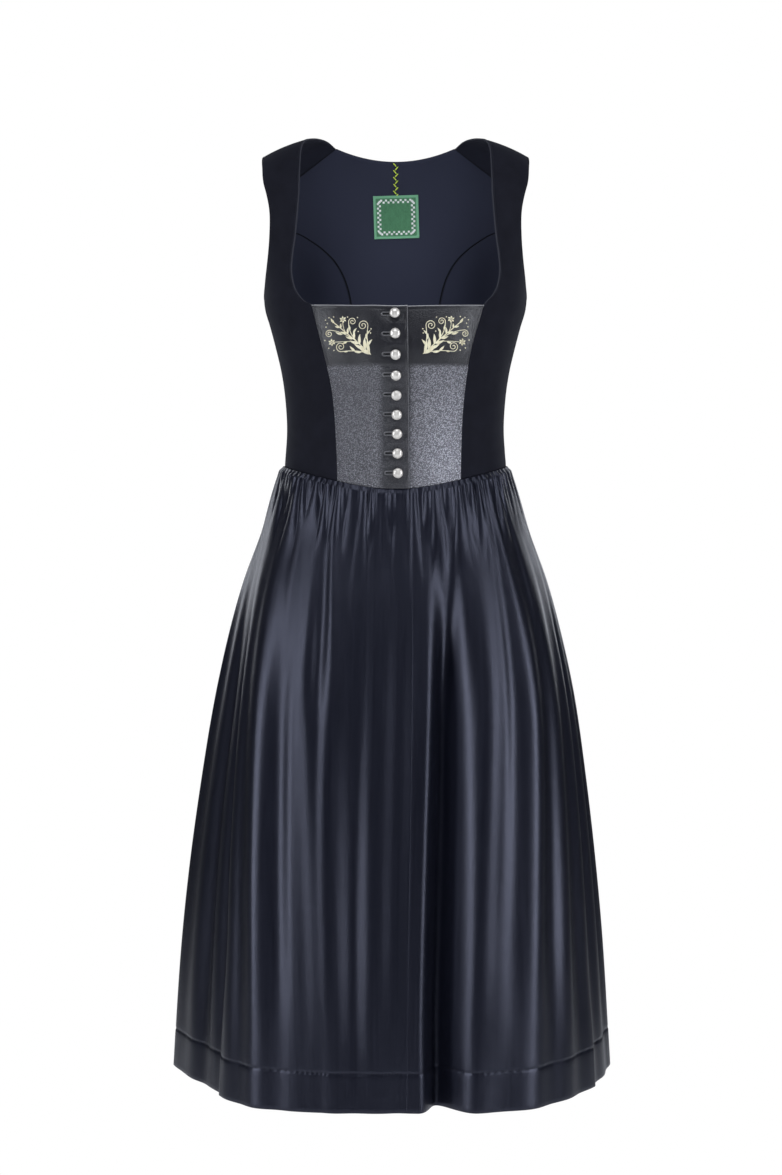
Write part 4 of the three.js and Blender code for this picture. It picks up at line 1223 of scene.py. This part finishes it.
def makeGathers():
    draw = np.random.default_rng(41)
    gathers = []
    for start, end, count, height, length in zip(*gatherStretches.values()):
        pitch = (end - start) / count
        for i in range(int(count)):
            gathers.append({
                "at": start + (i + 0.5 + draw.uniform(-0.22, 0.22)) * pitch,
                "drift": draw.uniform(-0.9, 0.9),
                "half": pitch * draw.uniform(0.46, 0.70),
                "height": height * draw.uniform(0.75, 1.6),
                "length": length * draw.uniform(0.45, 1.75),
            })
    return gathers


gathers = makeGathers()


# How far the small gathers stand out: rounded crests with narrow creases between them.
def gatherOut(thread, way, low, high, power=3):
    total = np.zeros(np.broadcast(thread, way).shape)
    room = skirt["gatherRoom"]
    for gather in gathers:
        if not low - room < gather["at"] < high + room:
            continue
        down = np.clip(way / gather["length"], 0, 1.2)
        centre = gather["at"] + gather["drift"] * smoothStep(down, 0.1, 1)
        half = gather["half"] * (1 + 0.9 * down)
        across = np.clip(np.abs(thread - centre) / half, 0, 1)
        rise = 0.35 + 0.65 * smoothStep(way, 0, 0.010)
        fade = 1 - smoothStep(down, 0.12, 1)
        ridge = (1 - across**2) ** 0.75
        total = total + (gather["height"] * rise * fade * ridge) ** power
    return total ** (1 / power)


def fineFoldOut(thread, way, table):
    total = np.zeros(np.broadcast(thread, way).shape)
    for at, to, start, end, width, height in zip(*table.values()):
        share = np.clip((way - start) / (end - start), 0, 1)
        middle = start + (end - start) * 0.3
        taper = smoothStep(way, start, middle) * (1 - smoothStep(way, middle, end))
        total = total + height * taper * bell(thread - lerp(at, to, share), width * (1 + 0.5 * share))
    return total * (1 - 0.6 * smoothStep(way, 0.78, 1))


def lyingFoldOut(thread, way):
    total = np.zeros(np.broadcast(thread, way).shape)
    for at, start, height, side in zip(*lyingFolds.values()):
        inward = (at - thread) * side
        profile = np.where(inward > 0, np.exp(-np.maximum(inward, 0) / 3.4), bell(inward, 0.55))
        total = total + height * smoothStep(way, start, start + 0.16) * profile
    return total


# Small unevenness of the cloth and of its turned-up hem.
def skirtUnevenness(thread, way):
    soft = 0.5 * softNoise(thread / 5.5, way * 9, 21) * smoothStep(way, 0.1, 0.4)
    fromHem = (1 - way) * skirtLength
    line = bell(fromHem - skirt["turnUp"], 1.6)
    dimples = 0.5 + 0.5 * np.cos(thread * 2 * math.pi / 2.1)
    doubled = smoothStep(-fromHem, -skirt["turnUp"] - 1, -skirt["turnUp"] + 3)
    return soft - line * (0.35 + 0.35 * dimples) + 0.25 * doubled


# Rows of the skirt's grids: from one share of the way down to another, and how many
wayStretches = ((0.0, 0.0007, 3), (0.0007, 0.02, 9), (0.02, 0.16, 40), (0.16, 0.40, 28), (0.40, 0.932, 40),
                (0.932, 0.942, 6), (0.942, 0.9990, 9), (0.9990, 1.0, 3))


def stretchPlaces(stretches):
    places = [np.linspace(start, end, count, endpoint=False) for start, end, count in stretches]
    return np.concatenate([*places, [stretches[-1][1]]])


def makeSkirtPanel(name, node, low, high, stretches, table):
    half = skirt["wall"] / 2 / skirt["degree"]
    inset = skirt["seamInset"] / skirt["degree"]
    low, high = low + inset, high - inset
    room = half * skirt["edgeRoom"]
    inner = stretchPlaces(stretches)
    inner = inner[(inner > low + room) & (inner < high - room)]
    edgeSteps = skirt["edgeSteps"]
    turns = np.linspace(0, math.pi / 2, edgeSteps)
    near = half * (1 - np.cos(turns))
    threads = np.concatenate([low + near, inner, (high - near)[::-1]])
    columnFull = np.concatenate([np.sin(turns), np.ones(len(inner)), np.sin(turns)[::-1]])
    ways = stretchPlaces(wayStretches)
    rowFull = np.ones(len(ways))
    rowFull[:edgeSteps] = np.sin(turns)
    rowFull[-edgeSteps:] = np.sin(turns)[::-1]
    thread, way = np.meshgrid(threads, ways)
    normals = skirtNormal(thread, way)
    moved = gatherOut(thread, way, low, high) + fineFoldOut(thread, way, table)
    moved = moved + lyingFoldOut(thread, way) + skirtUnevenness(thread, way)
    grid = skirtPoint(thread, way) + normals * moved[..., None]
    fineNormals = gridNormals(grid)
    full = np.minimum(columnFull[None, :], rowFull[:, None])
    fromHem = (1 - way) * skirtLength
    single = smoothStep(fromHem, skirt["turnUp"] - 0.8, skirt["turnUp"] + 0.8)
    wall = lerp(skirt["hemWall"], skirt["wall"], single)
    uv = np.stack([thread * skirt["clothDegree"], way * skirtLength], axis=-1)
    mesh = addShell(name, grid, fineNormals, wall, full, uv, np.zeros_like(way))
    addPiece(name, mesh, satin, [node])
    cuts[name] = readCut(grid)
    hemLine = np.argmin(np.abs(fromHem[:, 0] - skirt["turnUp"]))
    outsides[name] = grid[hemLine] + fineNormals[hemLine] * 0.02
    widths = arcLengths(grid, 1)[:, -1]
    print(name, "columns", len(threads), "rows", len(ways), "top", round(widths[edgeSteps - 1]),
          "hem", round(widths[-1]))


frontSeam = math.degrees(float(frontAngle(skirt["frontSeamX"], waist["z"] - waist["dip"])))
gatherFrom = skirt["gatherStart"]
side = math.degrees(waist["sideSeam"])
makeSkirtPanel("skirtFrontRight", "skirt_front_right", -side, frontSeam,
               [(-side, -gatherFrom, 190), (-gatherFrom, frontSeam, 70)], fineFolds["front"])
makeSkirtPanel("skirtFrontLeft", "skirt_front_left", frontSeam, side,
               [(frontSeam, gatherFrom, 34), (gatherFrom, side, 190)], fineFolds["front"])
makeSkirtPanel("skirtBack", "skirt_back", side, 360 - side, [(side, 360 - side, 340)], fineFolds["back"])
print("skirt made")


# The label inside the centre back, with a border of small woven blocks and a bare middle

label = {"width": 52, "height": 49, "wall": 0.8, "gap": 0.4, "x": 1, "z": -80, "turn": 0.03,
         "columns": 52, "rows": 50, "border": 6.4, "block": 2.3, "blocks": 15}


def insideBack(x, z, inward):
    angle = backAngle(x, z)
    depth = bodice["wall"] + np.asarray(inward, dtype=float)
    return formPoint(angle, z) - formNormal(angle, z) * depth[..., None]


def onLabel(across, upward, inward):
    x = label["x"] + across * math.cos(label["turn"]) - upward * math.sin(label["turn"])
    z = label["z"] + upward * math.cos(label["turn"]) + across * math.sin(label["turn"])
    return insideBack(x, z, label["gap"] + inward)


def makeLabel():
    acrossPlaces, columnFull = edgePlaces(label["width"], label["wall"] / 2, label["columns"])
    upPlaces, rowFull = edgePlaces(label["height"], label["wall"] / 2, label["rows"])
    across, upward = np.meshgrid((acrossPlaces[0] - 0.5) * label["width"],
                                 (upPlaces[0] - 0.5) * label["height"])
    grid = onLabel(across, upward, 0)
    normals = gridNormals(grid)
    grid = grid - normals * (0.1 + 0.075 * softNoise(across / 9, upward / 9, 31))[..., None]
    edge = np.minimum(label["width"] / 2 - np.abs(across), label["height"] / 2 - np.abs(upward))
    full = np.minimum(columnFull[None, :], rowFull[:, None])
    uv = np.stack([across, upward], axis=-1)
    mesh = addShell("neckLabel", grid, normals, label["wall"], full, uv, 1 - smoothStep(edge, 1.5, 4))
    return addPiece("neckLabel", mesh, labelCloth, ["neck_label"])


# A small block with a bevelled top, lying on the label.
def blockParts(centreAcross, centreUp, half):
    corners = [(-1, -1), (1, -1), (1, 1), (-1, 1)]
    levels = [(1.0, 0.05), (1.0, 0.30), (0.75, 0.45)]
    points = []
    for grow, out in levels:
        for a, b in corners:
            across = np.array(centreAcross + a * half * grow)
            upward = np.array(centreUp + b * half * grow)
            points.append(onLabel(across, upward, label["wall"] + out))
    faces = tubeFaces(len(levels), len(corners))
    return np.array(points), [face[::-1] for face in faces]


def makeLabelBorder():
    half = label["block"] / 2
    reachAcross = label["width"] / 2 - label["border"]
    reachUp = label["height"] / 2 - label["border"]
    parts = []
    for i in range(label["blocks"]):
        share = i / (label["blocks"] - 1) * 2 - 1
        step = half if i % 2 else -half
        for sign in (-1, 1):
            parts.append(blockParts(share * reachAcross, sign * (reachUp + step), half))
            parts.append(blockParts(sign * (reachAcross + step), share * reachUp, half))
    return addParts("labelBorder", parts, whiteThread)


neckLabel = makeLabel()
labelBorder = makeLabelBorder()
print("label made")


# Embroidered sprays in raised satin stitch, one on each leather front: a bowed stem from the lower
# inner corner, with leaves, curls, two six-petalled flowers and dots. Lengths are millimetres outward
# and upward from the stem's foot, angles are degrees. A leaf on the stem is its share of the way, turn,
# length and half width. A curl is its start, control and centre, then radius, first angle and turns.
spray = {
    "footRight": (-25.8, -246.6), "footLeft": (28.6, -246.2),
    "stem": ((0.4, 0.3), (13, 12), (41, 35)),
    "stemLeaves": [
        (0.06, 25, 15.5, 1.7), (0.05, -25, 15.5, 1.7), (0.22, 32, 13, 1.8), (0.24, -32, 12.5, 1.7),
        (0.39, 36, 11, 1.6), (0.42, -36, 10.5, 1.5), (0.55, 38, 9.5, 1.4), (0.58, -38, 8.5, 1.3),
        (0.70, 40, 7.5, 1.2), (0.74, -38, 7, 1.1), (0.86, 38, 5.5, 1.0), (0.88, -38, 5.5, 1.0),
        (1.0, 0, 7, 1.2),
    ],
    "curls": [
        ((1.4, 2.0), (6, 14), (9, 31), 5.2, 200, -1.75), ((2.2, 1.2), (15, 5.5), (33, 8.6), 4.9, 255, 1.75),
        ((13.7, 12.1), (24.5, 22), (20.4, 35.4), 3.8, -15, 1.6),
        ((18.9, 16.6), (33, 25.5), (45.4, 22.6), 3.6, 100, -1.6),
    ],
    "sideLeaves": [
        (3.5, 9.5, 110, 8, 1.2), (4.3, 15.5, 66, 7.5, 1.2), (4.4, 21.5, 116, 5.5, 0.95),
        (10.2, 3.2, -13, 8.5, 1.2), (17.4, 4, 28, 8, 1.2), (25, 4, -18, 5.5, 0.95), (19.5, 22.5, 108, 7, 1.1),
        (22.6, 26.5, 62, 5.5, 1.0), (31, 21.8, 4, 8, 1.1), (26, 13.8, -30, 6, 1.0),
    ],
    "flowers": [(30.6, 37.6, 3.9), (42.6, 13.4, 3.9)],
    "flowerStems": [((28, 24.2), (31, 30), (30.6, 35.4)), ((16, 14), (29, 14.5), (41, 13.4))],
    "dots": [(48.8, 29.8), (47.4, 33.6), (49.4, 37.4), (45.6, 39.8), (40.6, 40.6), (0.8, 22.6), (0.4, 27),
             (14.2, 24.6), (15, 39.6), (25.6, 40.2), (40.4, 4.8), (46, 7.2), (50, 15.6)],
    "stemHalf": 0.42, "height": 0.55, "sink": 0.25, "petalStart": 0.9,
}


def bezier(start, control, end, count=14):
    s = np.linspace(0, 1, count)[:, None]
    start, control, end = (np.array(point, dtype=float) for point in (start, control, end))
    return (1 - s) ** 2 * start + 2 * s * (1 - s) * control + s**2 * end


# A raised pad of stitches along a path on the leather: rounded above, flat below, closed at its ends.
def padParts(surface, path, halfWidths, height, sides=10):
    tangents = unit(np.gradient(path, axis=0))
    aside = np.stack([-tangents[:, 1], tangents[:, 0]], axis=-1)
    turns = np.arange(sides) * 2 * math.pi / sides
    flat = path[:, None] + aside[:, None] * (np.cos(turns) * halfWidths[:, None])[..., None]
    fullness = np.sqrt(halfWidths / halfWidths.max())[:, None]
    out = np.where(np.sin(turns) > 0, height * fullness * np.sin(turns), spray["sink"] * np.sin(turns))
    points = surface(flat[..., 0], flat[..., 1], out).reshape(-1, 3)
    return points, tubeFaces(len(path), sides)


def leafPath(foot, angle, length, bend=0.25):
    s = np.linspace(0, 1, 11)
    turned = math.radians(angle) + bend * s
    path = np.array(foot) + np.stack([np.cos(turned), np.sin(turned)], axis=-1) * (s * length)[:, None]
    return path, np.sin(math.pi * np.clip(s, 0.02, 0.985) ** 0.8)


def curlPath(start, control, centre, radius, first, turns):
    s = np.linspace(0, 1, 34)[:, None]
    turned = math.radians(first) + 2 * math.pi * turns * s
    reach = radius * (1 - s) ** 0.85 + 0.35
    coil = np.array(centre) + np.concatenate([np.cos(turned), np.sin(turned)], axis=-1) * reach
    return np.concatenate([bezier(start, control, coil[0])[:-1], coil])


def makeSpray(name, surface, foot, side):
    def onto(path):
        return np.array(foot) + np.asarray(path) * np.array([side, 1])

    def strand(path, half):
        widths = half * np.ones(len(path))
        widths[0] = widths[-1] = half * 0.35
        return padParts(surface, onto(path), widths, spray["height"] * 0.8, 8)

    def leaf(start, angle, length, half):
        path, shape = leafPath(start, angle, length)
        return padParts(surface, onto(path), half * shape, spray["height"])

    stem = bezier(*spray["stem"], 40)
    parts = [strand(stem, spray["stemHalf"] * 1.2)]
    for share, turn, length, half in spray["stemLeaves"]:
        index = min(int(share * (len(stem) - 1)), len(stem) - 2)
        along = stem[index + 1] - stem[index]
        parts.append(leaf(stem[index], math.degrees(math.atan2(along[1], along[0])) + turn, length, half))
    parts += [strand(curlPath(*curl), spray["stemHalf"]) for curl in spray["curls"]]
    parts += [strand(bezier(*path), spray["stemHalf"] * 0.8) for path in spray["flowerStems"]]
    parts += [leaf(row[:2], *row[2:]) for row in spray["sideLeaves"]]
    for x, z, radius in spray["flowers"]:
        for angle in range(18, 360, 60):
            inner = spray["petalStart"]
            start = (x + inner * math.cos(math.radians(angle)), z + inner * math.sin(math.radians(angle)))
            parts.append(leaf(start, angle, radius - inner, 0.95))
        parts.append(leaf((x - 0.7, z), 0, 1.4, 0.7))
    parts += [leaf((x - 0.75, z), 0, 1.5, 0.75) for x, z in spray["dots"]]
    return addParts(name, parts, creamThread)


sprayRight = makeSpray("sprayRight", onRightLeather, spray["footRight"], -1)
sprayLeft = makeSpray("sprayLeft", onLeftLeather, spray["footLeft"], 1)

# The lime feather stitch down the inside of the centre back, from the neck edge to the label
featherStitch = {"x": 0.4, "topZ": -19.5, "bottomZ": -54.0, "count": 10, "reach": 2.9, "drop": 3.9,
                 "radius": 0.6}


def makeFeatherStitch():
    parts = []
    for i in range(featherStitch["count"]):
        z = lerp(featherStitch["topZ"], featherStitch["bottomZ"], i / (featherStitch["count"] - 1))
        side = 1 if i % 2 else -1
        s = np.linspace(0, 1, 7)
        x = featherStitch["x"] + side * featherStitch["reach"] * (1 - 1.25 * s)
        raised = 0.25 + 0.35 * np.sin(math.pi * s)
        path = insideBack(x, z - featherStitch["drop"] * s**1.3, raised)
        radii = featherStitch["radius"] * np.where((s == 0) | (s == 1), 0.4, 1)
        parts.append(tubeParts(path, radii))
    return addParts("featherStitch", parts, limeThread)


featherStitches = makeFeatherStitch()
print("embroidery made")


# Sewn stitches: a small thread on each point of a path, made with Geometry Nodes
def makeStitchTree():
    tree = bpy.data.node_groups.new("stitchRow", "GeometryNodeTree")
    tree.interface.new_socket(name="Geometry", in_out="INPUT", socket_type="NodeSocketGeometry")
    for name in ("Pitch", "Length", "Radius"):
        tree.interface.new_socket(name=name, in_out="INPUT", socket_type="NodeSocketFloat")
    tree.interface.new_socket(name="Geometry", in_out="OUTPUT", socket_type="NodeSocketGeometry")
    given, result = tree.nodes.new("NodeGroupInput"), tree.nodes.new("NodeGroupOutput")
    curve = addNode(tree, "GeometryNodeMeshToCurve", {"Mesh": given.outputs["Geometry"]})
    even = addNode(tree, "GeometryNodeResampleCurve", {"Curve": curve.outputs["Curve"]})
    if hasattr(even, "mode"):
        even.mode = "LENGTH"
    else:
        even.inputs["Mode"].default_value = "Length"
    tree.links.new(given.outputs["Pitch"], even.inputs["Length"])
    ball = addNode(tree, "GeometryNodeMeshUVSphere", Segments=6, Rings=5, Radius=1.0)
    along = addNode(tree, "GeometryNodeInputTangent")
    turned = addNode(tree, "FunctionNodeAlignRotationToVector", {"Vector": along.outputs["Tangent"]},
                     axis="Z")
    half = addMath(tree, "MULTIPLY", given.outputs["Length"], 0.5)
    radius = given.outputs["Radius"]
    scale = addNode(tree, "ShaderNodeCombineXYZ", {"X": radius, "Y": radius, "Z": half})
    placed = addNode(tree, "GeometryNodeInstanceOnPoints", {
        "Points": even.outputs["Curve"], "Instance": ball.outputs["Mesh"],
        "Rotation": turned.outputs["Rotation"], "Scale": scale.outputs[0],
    })
    real = addNode(tree, "GeometryNodeRealizeInstances", {"Geometry": placed.outputs["Instances"]})
    smooth = addNode(tree, "GeometryNodeSetShadeSmooth", {"Geometry": real.outputs["Geometry"]})
    tree.links.new(smooth.outputs["Geometry"], result.inputs["Geometry"])
    return tree


stitchTree = makeStitchTree()


def makeStitches(name, paths, thread, pitch, length, radius):
    vertices, edges = [], []
    for path in paths:
        start = len(vertices)
        vertices += (np.asarray(path) * metre).tolist()
        edges += [(start + i, start + i + 1) for i in range(len(path) - 1)]
    lines = bpy.data.meshes.new(name + "Lines")
    lines.from_pydata(vertices, edges, [])
    holder = bpy.data.objects.new(name + "Lines", lines)
    bpy.context.scene.collection.objects.link(holder)
    modifier = holder.modifiers.new("stitches", "NODES")
    modifier.node_group = stitchTree
    sizes = {"Pitch": pitch, "Length": length, "Radius": radius}
    for socket in stitchTree.interface.items_tree:
        if socket.name in sizes:
            modifier[socket.identifier] = sizes[socket.name] * metre
    made = bpy.data.meshes.new_from_object(holder.evaluated_get(bpy.context.evaluated_depsgraph_get()))
    bpy.data.objects.remove(holder)
    made.name = name
    return addPiece(name, made, thread)


def columnAt(grid, distance, fromEnd=False):
    across = arcLengths(grid[:, ::-1] if fromEnd else grid, 1)
    column = int(np.argmin(np.abs(across[len(across) // 2] - distance)))
    return grid.shape[1] - 1 - column if fromEnd else column


edgeSeam = {"inset": 3.0, "strapFromZ": -184, "armFromZ": -176, "neckHalf": 67}


def makeEdgePaths():
    inset = edgeSeam["inset"]
    paths = []
    for name in ("frontSideRight", "frontSideLeft", "backSideRight", "backSideLeft"):
        grid = outsides[name]
        if name.startswith("front"):
            strap = np.argmax(grid[:, 0, 2] > edgeSeam["strapFromZ"])
            paths.append(grid[strap:-2, columnAt(grid, inset)])
        arm = np.argmax(grid[:, -1, 2] > edgeSeam["armFromZ"])
        paths.append(grid[arm:-2, columnAt(grid, inset, True)])
    back = outsides["backCentre"]
    fromTop = arcLengths(back[::-1, back.shape[1] // 2][:, None], 0)[:, 0]
    row = back.shape[0] - 1 - int(np.argmin(np.abs(fromTop - inset)))
    paths.append(back[row, np.abs(back[row, :, 0]) < edgeSeam["neckHalf"]])
    return paths


leatherPaths = [outsides[name][3:-3] for name in ("leatherFrontRight", "leatherFrontLeft")]
hemPaths = [outsides[name] for name in ("skirtFrontRight", "skirtFrontLeft", "skirtBack")]
leatherStitches = makeStitches("leatherStitches", leatherPaths, seamThread, 2.6, 1.9, 0.24)
edgeStitches = makeStitches("edgeStitches", makeEdgePaths(), hemThread, 2.8, 2.0, 0.22)
hemStitches = makeStitches("hemStitches", hemPaths, hemThread, 3.6, 2.3, 0.24)
print("stitches made")

# The flat size and area of each cloth piece's cut
for name, cut in cuts.items():
    print("cut", name, [round(side, 3) for side in cut["flat"]], round(cut["area"], 4))


# Camera, light and floor. The camera stands 2.8 m in front and looks 3 degrees down; its long side
# is 1175 pixels for a focal length of 2500 pixels.
view = {"x": -0.005, "y": -2.8, "z": -0.355, "down": math.radians(3), "focal": 2500, "longSide": 1175}


def makeCamera():
    data = bpy.data.cameras.new("camera")
    data.sensor_fit = "VERTICAL"
    data.sensor_height = 36
    data.sensor_width = 24
    data.lens = view["focal"] * data.sensor_height / view["longSide"]
    data.clip_end = 50
    camera = bpy.data.objects.new("camera", data)
    camera.location = (view["x"], view["y"], view["z"])
    camera.rotation_euler = (math.pi / 2 - view["down"], 0, 0)
    bpy.context.scene.collection.objects.link(camera)
    bpy.context.scene.camera = camera


# Soft boxes: name, azimuth from the front towards the wearer's left in degrees, distance, height
# above the origin, width and length in metres, watts, and whether matt surfaces alone see it, so that
# it puts no gloss on the satin.
softBoxes = [
    ("boxRight", -57, 2.6, 0.0, 0.4, 2.4, 34, False),
    ("boxLeft", 56, 2.6, 0.0, 0.4, 2.4, 36, False),
    ("boxTop", 0, 1.6, 2.1, 1.8, 0.8, 20, False),
    ("fill", 0, 3.2, 0.6, 1.6, 1.6, 42, True),
    ("fillBack", 180, 3.2, 0.6, 1.6, 1.6, 30, True),
    ("boxBackRight", -145, 2.6, 0.4, 0.6, 2.0, 10, False),
    ("boxBackLeft", 145, 2.6, 0.4, 0.6, 2.0, 10, False),
]


def makeLights():
    target = Vector((0, 0, -0.5))
    for name, azimuth, distance, z, width, height, power, matt in softBoxes:
        data = bpy.data.lights.new(name, "AREA")
        data.shape = "RECTANGLE"
        data.size, data.size_y, data.energy = width, height, power
        data.color = (0.90, 0.935, 1.0)
        light = bpy.data.objects.new(name, data)
        angle = math.radians(azimuth)
        light.location = (distance * math.sin(angle), -distance * math.cos(angle), z)
        light.rotation_euler = (target - light.location).to_track_quat("-Z", "Y").to_euler()
        light.visible_glossy = not matt
        bpy.context.scene.collection.objects.link(light)


# One look for the camera itself and another for all other rays
def cameraMix(tree, others, seen):
    path = addNode(tree, "ShaderNodeLightPath")
    mix = addNode(tree, "ShaderNodeMixShader")
    for socket, source in zip(mix.inputs, (path.outputs["Is Camera Ray"], others, seen)):
        tree.links.new(source, socket)
    return mix.outputs[0]


# A white room for the camera, and a dim one for what the dress reflects.
def makeWorld():
    world = bpy.data.worlds.new("studio")
    world.use_nodes = True
    tree = world.node_tree
    tree.nodes.clear()
    seen = addNode(tree, "ShaderNodeBackground", Color=(1, 1, 1, 1), Strength=1.0)
    dim = addNode(tree, "ShaderNodeBackground", Color=(0.92, 0.95, 1, 1), Strength=0.045)
    addNode(tree, "ShaderNodeOutputWorld", {"Surface": cameraMix(tree, dim.outputs[0], seen.outputs[0])})
    bpy.context.scene.world = world


def makeFloor():
    floorZ, radius, sides = -1500, 9000, 64
    turns = np.arange(sides) * 2 * math.pi / sides
    points = np.stack([radius * np.cos(turns), radius * np.sin(turns), np.full(sides, floorZ)], axis=-1)
    floor = bpy.data.objects.new("floor", addMesh("floor", points, [list(range(sides))]))
    bpy.context.scene.collection.objects.link(floor)
    material, tree, shader = newMaterial("paleFloor", (0.86, 0.86, 0.86), 0.9)
    glow = addNode(tree, "ShaderNodeEmission", Color=(1, 1, 1, 1), Strength=1.0)
    mixed = cameraMix(tree, shader.outputs[0], glow.outputs[0])
    tree.links.new(mixed, tree.nodes["Material Output"].inputs[0])
    floor.data.materials.append(material)


makeCamera()
makeLights()
makeWorld()
makeFloor()
bpy.context.scene.view_settings.view_transform = "Standard"
print("studio made")
